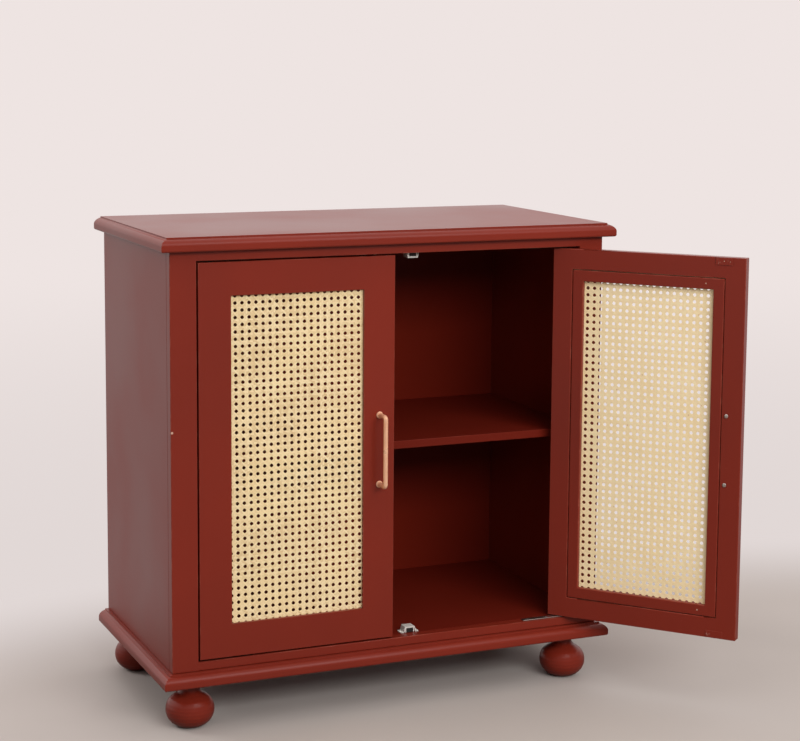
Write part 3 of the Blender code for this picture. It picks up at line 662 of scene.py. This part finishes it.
# Paint colours, and the place and radius of each chip and of each scratch round a strike
OXBLOOD = seen(129, 42, 28)
# The inside reds are darker as painted shade, for the dim inside of the cabinet
OXBLOOD_SHADED_INSIDE = seen(108, 28, 15)
RUB_AND_HIGHLIGHT = seen(160, 84, 68)
RUB_AND_HIGHLIGHT_SHADED_INSIDE = seen(122, 46, 34)
FRAME_CHIPS = (((-0.4957, -0.0868, 0.545), 0.0022), ((-0.4478, -0.0868, 0.353), 0.0018))
BRAD_CHIPS = (((0.4476, -0.2929, 0.7906), 0.0015), ((0.4476, -0.2929, 0.1814), 0.0015))
STRIKE_CHIPS = (((0.4683, -0.3193, 0.8330), 0.0009), ((0.4757, -0.3280, 0.8322), 0.0008))

RED_PAINT = paint("red_paint", OXBLOOD, RUB_AND_HIGHLIGHT, gloss=0.34)
CHIPPED_PAINT = paint("chipped_paint", OXBLOOD, RUB_AND_HIGHLIGHT, gloss=0.34, chips=FRAME_CHIPS)
STRIP_PAINT = paint("strip_paint", OXBLOOD, RUB_AND_HIGHLIGHT, gloss=0.34, chips=BRAD_CHIPS)
STRIKE_PAINT = paint("strike_paint", OXBLOOD, RUB_AND_HIGHLIGHT, gloss=0.36, chips=STRIKE_CHIPS, scuffs=0.75)
TURNED_PAINT = paint("turned_paint", OXBLOOD, RUB_AND_HIGHLIGHT, gloss=0.34, turning=9)
SHADED_INSIDE_PAINT = paint("inside_paint", OXBLOOD_SHADED_INSIDE, RUB_AND_HIGHLIGHT_SHADED_INSIDE, gloss=0.58, lacquer=0.02)
CANE = straw("cane")
ROSE_BRASS = metal("rose_brass", seen(255, 201, 164), seen(248, 188, 150), roughness=0.30,
                   grain=(500, 500, 40), metallic=0.25)
BRIGHT_STEEL = metal("bright_steel", seen(232, 228, 222), seen(205, 200, 194), roughness=0.34,
                     grain=(60, 700, 700))
PALE_ZINC = metal("pale_zinc", seen(246, 243, 236), seen(226, 221, 213), roughness=0.38,
                  grain=(700, 60, 700), metallic=0.20)
# A darker copy of the steel for plates and bushes in the door gaps: painted shade
SHADED_STEEL = metal("shaded_steel", seen(72, 60, 54), seen(54, 44, 40), roughness=0.70,
                   grain=(60, 700, 700))
FERRITE = sintered("ferrite")


# Top board and base board


def board_levels(thickness):
    """Overhang and height of each level of the moulded edge, from the underside up."""
    nose_round = thickness * NOSE_ROUND_SHARE
    nose_top = nose_round + thickness * NOSE_FACE_SHARE
    ledge_height = thickness * (1 - QUIRK_SHARE)
    ovolo_height = ledge_height - thickness * LEDGE_FALL_SHARE - nose_top
    ledge_overhang = FLAT_OVERHANG + QUIRK_LEDGE
    levels = []
    for i in range(MOULDING_STEPS + 1):
        turn = math.pi / 2 * i / MOULDING_STEPS
        levels.append((NOSE_OVERHANG - nose_round * (1 - math.sin(turn)),
                       nose_round * (1 - math.cos(turn))))
    for i in range(MOULDING_STEPS + 1):
        turn = OVOLO_TURN * i / MOULDING_STEPS
        inward_share = (1 - math.cos(turn)) / (1 - math.cos(OVOLO_TURN))
        upward_share = math.sin(turn) / math.sin(OVOLO_TURN)
        levels.append((NOSE_OVERHANG - (NOSE_OVERHANG - ledge_overhang) * inward_share,
                       nose_top + ovolo_height * upward_share))
    return levels + [(FLAT_OVERHANG, ledge_height), (FLAT_OVERHANG, thickness)]


def moulded_board(node):
    """A board raised level by level, so that its moulding mitres at the front corners."""
    low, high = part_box(node)
    left, right, front = low.x + NOSE_OVERHANG, high.x - NOSE_OVERHANG, low.y + NOSE_OVERHANG

    def set_level(corners, overhang, height):
        for corner in corners:
            corner.co.x = left - overhang if corner.co.x < (left + right) / 2 else right + overhang
            corner.co.y = high.y if corner.co.y > (front + high.y) / 2 else front - overhang
            corner.co.z = low.z + height

    levels = board_levels(high.z - low.z)
    bm = new_work()
    bmesh.ops.create_grid(bm, x_segments=1, y_segments=1, size=1)
    set_level(bm.verts, *levels[0])
    rim = list(bm.edges)
    for level in levels[1:]:
        corners, rim = extruded(bm, rim)
        set_level(corners, *level)
    bmesh.ops.contextual_create(bm, geom=rim)
    smooth_round(bm)
    for face in bm.faces:
        face.smooth = abs(face.normal.z) < FLAT_LIMIT and face.normal.y < FLAT_LIMIT
    ease(bm, [edge for edge in bm.edges if not edge.smooth], MITRE_EASE, FINE_STEPS)
    return bm


for node in ("top_board", "base_board"):
    finished(node, moulded_board(node), RED_PAINT, "carcass")


# Carcass panels and face frame

FRAME_OPENING = (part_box("frame_rail_bottom")[1].z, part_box("frame_rail_top")[0].z)
for side in ("left", "right"):
    low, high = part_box("side_panel_" + side)
    finished("side_panel_" + side, eased_block(low, high, width=PANEL_ARRIS), RED_PAINT, "carcass")
    low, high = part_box("frame_stile_" + side)
    post = split_at(block(low, high), FRAME_OPENING)
    inner = high.x if side == "left" else low.x
    ease(post, [edge for edge in sharp_edges(post) if not beside_rail(edge, (inner,), FRAME_OPENING)])
    finished("frame_stile_" + side, post, CHIPPED_PAINT, "carcass")
for rail in ("top", "bottom"):
    low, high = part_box("frame_rail_" + rail)
    low.x, high.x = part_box("frame_stile_left")[1].x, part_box("frame_stile_right")[0].x
    ends = ((0, low.x), (0, high.x))
    finished("frame_rail_" + rail, eased_block(low, high, ends), RED_PAINT, "carcass")

shelf_low, shelf_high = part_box("shelf")
shelf_low.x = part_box("side_panel_left")[1].x + GAP
shelf_high.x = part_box("side_panel_right")[0].x - GAP
finished("shelf", eased_block(shelf_low, shelf_high), SHADED_INSIDE_PAINT, "carcass")

# Flat panels whose edges are all hidden keep the frame's own shape
# These panels and the shelf take the darker inside paint, which is painted shade
for node in ("back_panel", "ceiling_panel", "floor_panel"):
    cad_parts[node].material_slots[0].material = SHADED_INSIDE_PAINT


# Bun feet


def bun_foot():
    """A turned foot with a flat neck, a full belly and a flat underside."""
    line = line_through([(FOOT_RADIUS * across, FOOT_HEIGHT * up)
                         for across, up in FOOT_OUTLINE_SHARES], FOOT_ROUND_STEPS)
    top = FOOT_HEIGHT - GAP
    return turned([(0, top), (line[0][0], top)] + line + [(0, 0)], FOOT_STEPS)


for row in ("front", "rear"):
    for side in ("left", "right"):
        node = "foot_" + row + "_" + side
        low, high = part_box(node)
        finished(node, bun_foot(), TURNED_PAINT, "carcass",
                 Matrix.Translation(((low.x + high.x) / 2, (low.y + high.y) / 2, 0)))


# Screw heads


def cross_head(radius, height, flat=False):
    """A domed or flat screw head on z = 0 with a cross recess."""
    if flat:
        profile = [(0, height), (radius * FLAT_TOP_SHARE, height),
                   (radius, height * FLAT_RIM_SHARE), (radius, -height), (0, -height)]
    else:
        turns = [math.pi / 2 * i / DOME_STEPS for i in range(DOME_STEPS, -1, -1)]
        foot = -height * DOME_FOOT_SHARE
        profile = [(radius * math.cos(turn), height * math.sin(turn)) for turn in turns]
        profile += [(radius, foot), (0, foot)]
    reach, half = radius * CROSS_REACH_SHARE, radius * CROSS_WIDTH_SHARE / 2
    floor = height * (1 - CROSS_DEPTH_SHARE)
    slots = [block((-x, -y, floor), (x, y, height * 2)) for x, y in ((reach, half), (half, reach))]
    return cut(turned(profile), *slots)


# Magnetic catches


def pole_plates():
    """Bright plates at both sides of the magnet and over it."""
    half = CATCH_BODY_WIDTH / 2 - CATCH_SHOULDER - CATCH_SHEET - GAP
    roof = CATCH_HEIGHT - CATCH_SHEET - GAP
    spans = [((-half, GAP), (POLE_PLATE - half, roof)), ((half - POLE_PLATE, GAP), (half, roof)),
             ((POLE_PLATE - half, roof - POLE_ROOF), (half - POLE_PLATE, roof))]
    return [eased_block((x, POLE_SETBACK, z), (far, CATCH_DEPTH, top), width=POLE_ARRIS)
            for (x, z), (far, top) in spans]


def catch_case():
    """A strip folded into two ears and a box body, with a screw head on each ear."""
    line = CATCH_SHEET / 2
    body = CATCH_BODY_WIDTH / 2 - line
    shoulder = body - CATCH_SHOULDER
    half = [(CATCH_WIDTH / 2, GAP + line), (body, GAP + line), (shoulder, CATCH_HEIGHT - line)]
    bm = new_work()
    verts = [bm.verts.new((x, 0, z)) for x, z in [(-x, z) for x, z in half] + half[::-1]]
    far_verts, _ = extruded(bm, [bm.edges.new(pair) for pair in zip(verts, verts[1:])])
    bmesh.ops.translate(bm, vec=(0, CATCH_DEPTH, 0), verts=far_verts)
    corners = [vert for vert in bm.verts if abs(abs(vert.co.x) - CATCH_WIDTH / 2) < WELD]
    folds = [edge for edge in bm.edges if edge.is_manifold]
    rounded(bm, folds, CATCH_FOLD, CATCH_FOLD_STEPS)
    rounded(bm, corners, CATCH_EAR_ROUND, CATCH_EAR_STEPS, "VERTICES")
    bmesh.ops.recalc_face_normals(bm, faces=bm.faces)
    bmesh.ops.solidify(bm, geom=list(bm.faces), thickness=CATCH_SHEET)
    low = min(vert.co.z for vert in bm.verts)
    bmesh.ops.translate(bm, vec=(0, 0, GAP - low), verts=bm.verts)
    smooth_round(bm)
    ear = (CATCH_WIDTH + CATCH_BODY_WIDTH) / 4
    heads = copies(cross_head(CATCH_HEAD_RADIUS, CATCH_HEAD_HEIGHT),
                   [seat((x, CATCH_DEPTH / 2, GAP + CATCH_SHEET)) for x in (-ear, ear)])
    return joined(bm, heads, *pole_plates())


for level, turn in (("bottom", 0), ("top", math.pi)):
    for side in ("left", "right"):
        node = "catch_" + level + "_" + side
        low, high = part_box(node)
        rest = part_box("floor_panel")[1].z if level == "bottom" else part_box("ceiling_panel")[0].z
        place = Matrix.Translation(((low.x + high.x) / 2, low.y, rest))
        finished(node, catch_case(), PALE_ZINC, "carcass",
                 place @ Matrix.Rotation(turn, 4, "Y"))
        node = "magnet_" + level + "_" + side
        low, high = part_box(node)
        inset = POLE_PLATE + GAP
        low.x, high.x = low.x + inset, high.x - inset
        if level == "bottom":
            high.z -= POLE_ROOF + GAP
        else:
            low.z += POLE_ROOF + GAP
        finished(node, eased_block(low, high, width=SMALL_ARRIS), FERRITE, "carcass")


# Pivot plates and bushes


def pivot_plate():
    """A plate with round corners, its pin's axis at the origin, and two flat screw heads."""
    far = PLATE_OUTER_REACH - PLATE_LENGTH
    plate_top = GAP + PLATE_THICKNESS
    bm = block((far, -PLATE_WIDTH / 2, GAP), (PLATE_OUTER_REACH, PLATE_WIDTH / 2, plate_top))
    upright = [edge for edge in bm.edges if abs(edge.verts[0].co.z - edge.verts[1].co.z) > WELD]
    rounded(bm, upright, PLATE_CORNER, PLATE_CORNER_STEPS)
    ease(bm, sharp_edges(bm), PLATE_EASE, FINE_STEPS)
    pin_foot, pin_top = plate_top - PLATE_EASE, plate_top + PIN_REACH
    pin = turned([(0, pin_top), (PIN_RADIUS - PIN_CHAMFER, pin_top),
                  (PIN_RADIUS, pin_top - PIN_CHAMFER), (PIN_RADIUS, pin_foot), (0, pin_foot)])
    heads = copies(cross_head(PLATE_HEAD_RADIUS, PLATE_HEAD_HEIGHT, flat=True),
                   [seat((x, 0, plate_top)) for x in PLATE_SCREW_PLACES])
    return joined(bm, pin, heads)


def bush():
    """A flanged tube, its flange outside the wood, which starts at z = 0."""
    return turned([(BUSH_BORE, BUSH_LENGTH), (BUSH_RADIUS, BUSH_LENGTH), (BUSH_RADIUS, -GAP),
                   (FLANGE_RADIUS, -GAP), (FLANGE_RADIUS, -GAP - FLANGE_THICKNESS),
                   (BUSH_BORE, -GAP - FLANGE_THICKNESS)], ring=True)


PIVOTS = {}
for side in ("left", "right"):
    low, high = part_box(side + "_door_bush_bottom")
    PIVOTS[side] = Vector(((low.x + high.x) / 2, (low.y + high.y) / 2, 0))
for level, height, flip in (("bottom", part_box("frame_rail_bottom")[1].z, 0),
                            ("top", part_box("frame_rail_top")[0].z, math.pi)):
    for side, turn in (("left", math.pi), ("right", 0)):
        place = Matrix.Translation(PIVOTS[side] + Vector((0, 0, height)))
        place = place @ Matrix.Rotation(turn, 4, "Z") @ Matrix.Rotation(flip, 4, "X")
        # Only the bottom right plate is bright steel; the others take the darker steel as painted shade
        in_light = (level, side) == ("bottom", "right")
        finished("pivot_plate_" + level + "_" + side, pivot_plate(),
                 BRIGHT_STEEL if in_light else SHADED_STEEL, "carcass", place)


# Woven cane


def strand(course, sideways):
    """A flat strand, crowned on its outer side, drawn along (across, inward, up) points."""
    bm = bmesh.new()
    bm.verts.layers.float.new("tone")
    start = Vector(course[0])
    inner = Vector((0, STRAND_CROWN / 2, 0))
    edge = Vector(sideways).normalized() * (STRAND_WIDTH / 2)
    verts = [bm.verts.new(start + offset) for offset in (edge + inner, -inner, inner - edge)]
    rim = [bm.edges.new((verts[i], verts[i - 1])) for i in range(3)]
    for here, there in zip(course, course[1:]):
        verts, rim = extruded(bm, rim)
        bmesh.ops.translate(bm, vec=Vector(there) - Vector(here), verts=verts)
    return mesh_of(bm, "strand")


def lay(sheet, mesh, step, count, pick_tone):
    """Lays copies of one strand side by side, each with a tone of its own."""
    for _ in range(count):
        tone = pick_tone()
        mesh.attributes["tone"].data.foreach_set("value", [tone] * len(mesh.vertices))
        sheet.from_mesh(mesh)
        mesh.transform(Matrix.Translation(step))
    bpy.data.meshes.remove(mesh)


def over_and_under(cell, count, first_lift):
    """Places along one strand of a pair, and how far in it lies where the other pair crosses."""
    course = []
    for i in range(count):
        middle = (i + 0.5) * cell
        course += [(i * cell, 0), (middle - PAIR_HALF, first_lift), (middle + PAIR_HALF, -first_lift)]
    return course


def slant_course(half_cells, hand):
    """The points of a slanting strand, which rests above one pair and then under the next."""
    course = []
    for half_cell in range(half_cells):
        lift = SLANT_LIFT * hand * (1 if half_cell % 2 else -1)
        for share in (-SLANT_REST_SHARE, SLANT_REST_SHARE):
            along = half_cell + share
            course.append((hand * along * CELL_ACROSS / 2, lift, along * CELL_UP / 2))
    return course


def first_cell(hole, start, cell):
    """Where the cells begin, a little before the sheet does, for a hole to come out in place."""
    return hole - (math.ceil((hole - start) / cell) + 1) * cell


def cane_sheet(low, high, first_hole, drift, tone_and_painted_light_range, seed):
    """A sheet woven six ways: upright and level pairs and two slants, cut to its outline."""
    picker = random.Random(seed)

    def pick_tone():
        return picker.uniform(*tone_and_painted_light_range)

    columns = math.ceil((high[0] - low[0]) / CELL_ACROSS) + SPARE_CELLS
    rows = math.ceil((high[1] - low[1]) / CELL_UP) + SPARE_CELLS
    sheet = bmesh.new()
    sheet.verts.layers.float.new("tone")
    for hand in (-1, 1):
        across, up = CELL_ACROSS / 2 + hand * PAIR_HALF, CELL_UP / 2 + hand * PAIR_HALF
        upright = [(across, y, z) for z, y in over_and_under(CELL_UP, rows, hand * WEAVE_LIFT)]
        lay(sheet, strand(upright, (1, 0, 0)), (CELL_ACROSS, 0, 0), columns, pick_tone)
        level = [(x, y, up) for x, y in over_and_under(CELL_ACROSS, columns, -hand * WEAVE_LIFT)]
        lay(sheet, strand(level, (0, 0, -1)), (0, 0, CELL_UP), rows, pick_tone)
        shift = -rows * CELL_ACROSS if hand > 0 else 0
        slant = [(x + shift + CELL_ACROSS / 2, y, z) for x, y, z in slant_course(rows * 2, hand)]
        lay(sheet, strand(slant, (CELL_UP, 0, -hand * CELL_ACROSS)), (CELL_ACROSS, 0, 0),
            rows + columns, pick_tone)
    # Leans the weave by its drift, with the first hole still in its place
    skew = Matrix.Identity(4)
    skew[0][2] = -drift
    skew[0][3] = first_cell(first_hole[0], low[0], CELL_ACROSS) + drift * first_hole[1]
    skew[1][3] = CANE_DEPTH
    place = Matrix.Translation((0, 0, first_cell(first_hole[1], low[1], CELL_UP)))
    bmesh.ops.transform(sheet, matrix=skew @ place, verts=sheet.verts)
    for point, away in (((low[0], 0, 0), (-1, 0, 0)), ((high[0], 0, 0), (1, 0, 0)),
                        ((0, 0, low[1]), (0, 0, -1)), ((0, 0, high[1]), (0, 0, 1))):
        slice_through(sheet, point, away, clear=True)
    close_ends(sheet, CUT_END_SIDES)
    return sheet


# Doors


def border_spans(bottom, top, inset):
    """Where the pieces along a door's four borders start and end, across and up."""
    inner_near, inner_far = MEMBER_WIDTH, DOOR_WIDTH - MEMBER_WIDTH
    return {
        "hinge": (inset, inner_near, bottom + inset, top - inset),
        "meeting": (inner_far, DOOR_WIDTH - inset, bottom + inset, top - inset),
        "bottom": (inner_near, inner_far, bottom + inset, bottom + MEMBER_WIDTH),
        "top": (inner_near, inner_far, top - MEMBER_WIDTH, top - inset),
    }


def free_edges(bm, border, opening):
    """The edges to ease of the piece along one border, without those at its neighbours."""
    inner_sides = (MEMBER_WIDTH, DOOR_WIDTH - MEMBER_WIDTH)
    if border not in UPRIGHT_BORDERS:
        return sharp_edges(bm, [(0, place) for place in inner_sides])
    return [edge for edge in sharp_edges(split_at(bm, opening))
            if not beside_rail(edge, inner_sides, opening)]


def brad_places(near, far, low, high):
    """Three brads up a tall strip, or two along a wide one."""
    across, up = (near + far) / 2, (low + high) / 2
    if high - low > far - near:
        return [(across, low + BRAD_INSET), (across, up), (across, high - BRAD_INSET)]
    return [(near + BRAD_INSET, up), (far - BRAD_INSET, up)]


def bow_handle(across, middle):
    """A rod bent at both ends, on two collars."""
    half = [(-GAP, HANDLE_PITCH / 2, 0)]
    for i in range(HANDLE_BEND_STEPS + 1):
        turn = math.pi / 2 * i / HANDLE_BEND_STEPS
        half.append((-HANDLE_STANDOFF + HANDLE_BEND * (1 - math.sin(turn)),
                     HANDLE_PITCH / 2 - HANDLE_BEND * (1 - math.cos(turn)), turn))
    stations = []
    for inward, up, turn in half + [(y, -z, math.pi - t) for y, z, t in half[::-1]]:
        way = Matrix.Rotation(math.pi / 2 + turn, 4, "X")
        stations.append(Matrix.Translation((across, inward, middle + up)) @ way)
    rod = drawn(HANDLE_SIDES, HANDLE_RADIUS, stations)
    collars = copies(turned(COLLAR_PROFILE, HANDLE_SIDES),
                     [seat((across, 0, middle + rise), (0, -1, 0))
                      for rise in (-HANDLE_PITCH / 2, HANDLE_PITCH / 2)])
    return joined(rod, collars)


def dress_door(side, hand, angle, weave):
    """The finished pieces of one door, made in the door's own measures and put in place.

    hand is -1 for the left door and 1 for the right, and angle is how far it stands open."""
    body, title = side + "_door", side + "_door_"
    place = Matrix.Translation(PIVOTS[side]) @ Matrix.Rotation(hand * angle, 4, "Z")
    place = place @ Matrix.Diagonal((-hand, 1, 1, 1))
    place = place @ Matrix.Translation((-PIVOT_INSET, -DOOR_THICKNESS / 2, 0))
    bottom, top = (corner.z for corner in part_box(title + "stile_hinge"))
    opening = (bottom + MEMBER_WIDTH, top - MEMBER_WIDTH)

    def fit(piece, bm, finish, spot=Matrix()):
        finished(title + piece, bm, finish, body, place @ spot)

    rebate = ((REBATE_INSET, LIP_THICKNESS, bottom + REBATE_INSET),
              (DOOR_WIDTH - REBATE_INSET, DOOR_THICKNESS * 2, top - REBATE_INSET))
    for border, (near, far, low, high) in border_spans(bottom, top, 0).items():
        member = ("stile_" if border in UPRIGHT_BORDERS else "rail_") + border
        bm = cut(block((near, 0, low), (far, DOOR_THICKNESS, high)), block(*rebate))
        ease(bm, free_edges(bm, border, opening))
        fit(member, bm, RED_PAINT)

    fit("cane", cane_sheet((CANE_BORDER, bottom + CANE_BORDER),
                           (DOOR_WIDTH - CANE_BORDER, top - CANE_BORDER), *weave), CANE)

    strip_face = DOOR_THICKNESS - GAP
    for border, span in border_spans(bottom, top, REBATE_INSET + STRIP_GAP).items():
        near, far, low, high = span
        bm = block((near, STRIP_FRONT, low), (far, strip_face, high))
        ease(bm, free_edges(bm, border, opening), STRIP_ARRIS)
        brads = copies(turned(BRAD_PROFILE, BRAD_STEPS),
                       [seat((x, strip_face, z), (0, 1, 0)) for x, z in brad_places(*span)])
        fit("strip_" + border, joined(bm, brads), STRIP_PAINT)

    for level, spot in (("bottom", seat((PIVOT_INSET, DOOR_THICKNESS / 2, bottom))),
                        ("top", seat((PIVOT_INSET, DOOR_THICKNESS / 2, top), (0, 0, -1)))):
        # The bushes take the darker steel, painted shade for the gaps they sit in
        fit("bush_" + level, bush(), SHADED_STEEL, spot)

    across, middle, back = DOOR_WIDTH - HANDLE_SETBACK, (bottom + top) / 2, DOOR_THICKNESS + GAP
    fit("handle", bow_handle(across, middle), ROSE_BRASS)
    for level, rise in (("bottom", -HANDLE_PITCH / 2), ("top", HANDLE_PITCH / 2)):
        fit("handle_screw_" + level, cross_head(HANDLE_HEAD_RADIUS, HANDLE_HEAD_HEIGHT),
            BRIGHT_STEEL, seat((across, back, middle + rise), (0, 1, 0)))

    for level, end, inward in (("bottom", bottom, 1), ("top", top, -1)):
        start = end + inward * STRIKE_INSET
        bm = eased_block((STRIKE_MIDDLE - STRIKE_WIDTH / 2, back, start),
                         (STRIKE_MIDDLE + STRIKE_WIDTH / 2, back + STRIKE_THICKNESS,
                          start + inward * STRIKE_HEIGHT), width=SMALL_ARRIS)
        fit("strike_" + level, bm, STRIKE_PAINT)


dress_door("left", -1, 0, LEFT_WEAVE)
dress_door("right", 1, RIGHT_DOOR_OPENING, RIGHT_WEAVE)


# Floor: its colours, how far it reaches, and the distances over which it turns into the
# background and brightens to it
BACKGROUND = seen(238, 228, 226)
FLOOR_TONES = (seen(192, 185, 179), seen(198, 191, 185))
FLOOR_BOUNCE = seen(140, 130, 124)
FLOOR_CLOUD_BAND = (0.35, 0.65)
FLOOR_REACH = 30
FLOOR_SIDES = 96
FLOOR_MIDDLE = (0.1, -2.0, 0)
FLOOR_FADE = (2.35, 2.95)
NEAR_WALL_LEVEL = 0.88
HORIZON_BAND = (2.6, 9, NEAR_WALL_LEVEL, 1)
FAR_FLOOR_LIGHT = 0.08
FAR_FLOOR_SHEEN = 0.7


def pale_floor():
    """A floor that turns into the background's own tone away from the cabinet."""
    finish = Finish("pale_floor", Roughness=0.6, Specular_IOR_Level=0.2)
    cloud = finish.noise(finish.place(), scale=1.4, detail=3)
    shown, mirrored = finish.ray("Is Camera Ray"), finish.ray("Is Glossy Ray")
    tone = finish.mixed(cloud.between(*FLOOR_CLOUD_BAND), *FLOOR_TONES)
    finish.done(Base_Color=finish.mixed(shown, FLOOR_BOUNCE, tone))
    away = finish.apart(FLOOR_MIDDLE)
    unseen = mirrored.between(0, 1, FAR_FLOOR_LIGHT, FAR_FLOOR_SHEEN)
    level = (shown + (1 - shown) * unseen) * away.between(*HORIZON_BAND)
    glow = finish.add("ShaderNodeEmission", {}, {"Color": BACKGROUND, "Strength": level})
    surface = finish.add("ShaderNodeMixShader", {}, {
        0: away.between(*FLOOR_FADE), 1: Level(finish, finish.shader.outputs[0]), 2: glow})
    finish.feed(finish.nodes["Material Output"].inputs["Surface"], surface)
    return finish.material


floor_work = bmesh.new()
bmesh.ops.create_circle(floor_work, cap_ends=True, segments=FLOOR_SIDES, radius=FLOOR_REACH)
floor_mesh = mesh_of(floor_work, "floor")
floor_mesh.materials.append(pale_floor())
floor_piece = in_scene("floor", floor_mesh)


# Light: what the room gives from below to above, and what glossy surfaces see of it, from the
# front to the back and again from low to high
ROOM_BAND = (0, 1, 0.02, 1.02)
MIRRORED_DEPTH_BAND = (-0.3, 0.5, 0.20, 1.0)
MIRRORED_HEIGHT_BAND = (0.2, 0.6, 0, 0.5)


def soft_room():
    """Room light that comes mostly from above, and reflections paler towards the back."""
    world = bpy.data.worlds.new("soft_room")
    room = Tree(world)
    way = room.add("ShaderNodeTexCoord", {}, {}, "Generated")
    height = room.add("ShaderNodeSeparateXYZ", {}, {0: way}, "Z")
    depth = room.add("ShaderNodeSeparateXYZ", {}, {0: way}, "Y")
    shown = room.ray("Is Camera Ray") + room.ray("Is Transmission Ray")
    glossy = room.ray("Is Glossy Ray")
    light = height.between(*ROOM_BAND)
    reflected = depth.between(*MIRRORED_DEPTH_BAND) + height.between(*MIRRORED_HEIGHT_BAND)
    sky = room.nodes["Background"]
    room.feed(sky.inputs["Color"], BACKGROUND)
    room.feed(sky.inputs["Strength"],
              shown + (1 - shown) * (glossy * reflected + (1 - glossy) * light))
    return world


def soft_box(name, place, target, width, height, power, mirrored=False):
    """A lamp behind cloth. The strong ones don't show as white patches in glossy surfaces."""
    lamp = bpy.data.lights.new(name, "AREA")
    lamp.shape = "RECTANGLE"
    lamp.size, lamp.size_y = width, height
    lamp.energy = power
    holder = in_scene(name, lamp)
    holder.visible_glossy = mirrored
    holder.location = place
    holder.rotation_euler = (Vector(target) - Vector(place)).to_track_quat("-Z", "Y").to_euler()


bpy.context.scene.world = soft_room()
soft_box("key_softbox", place=(0.3, -3.9, 2.2), target=(0, 0, 0.5), width=3.2, height=1.0, power=106)
soft_box("high_softbox", place=(0.8, -2.2, 2.8), target=(0, 0, 0.4), width=1.6, height=1.6, power=14,
         mirrored=True)
soft_box("side_softbox", place=(-2.9, 2.0, 2.0), target=(0, 0.1, 0.5), width=1.2, height=1.2,
         power=36)


# Camera at the photograph's angle. Its lens and sensor are in millimetres
CAMERA_PLACE = (-1.4375, -3.2494, 1.2141)
CAMERA_YAW = math.radians(-23.4258)
CAMERA_PITCH = math.radians(7.2361)
CAMERA_ROLL = math.radians(0.4213)
CAMERA_LENS = 86.6
CAMERA_SENSOR = 36
CAMERA_SHIFT_UP = -0.1006
CAMERA_REACH = 200

camera = bpy.data.cameras.new("camera")
camera.sensor_width = CAMERA_SENSOR
camera.lens = CAMERA_LENS
camera.shift_y = CAMERA_SHIFT_UP
camera.clip_end = CAMERA_REACH
viewer = in_scene("camera", camera)
viewer.location = CAMERA_PLACE
viewer.rotation_euler = (Matrix.Rotation(CAMERA_YAW, 3, "Z")
                         @ Matrix.Rotation(math.pi / 2 - CAMERA_PITCH, 3, "X")
                         @ Matrix.Rotation(CAMERA_ROLL, 3, "Z")).to_euler()
bpy.context.scene.camera = viewer
bpy.context.scene.view_settings.view_transform = "Standard"

bpy.context.view_layer.update()
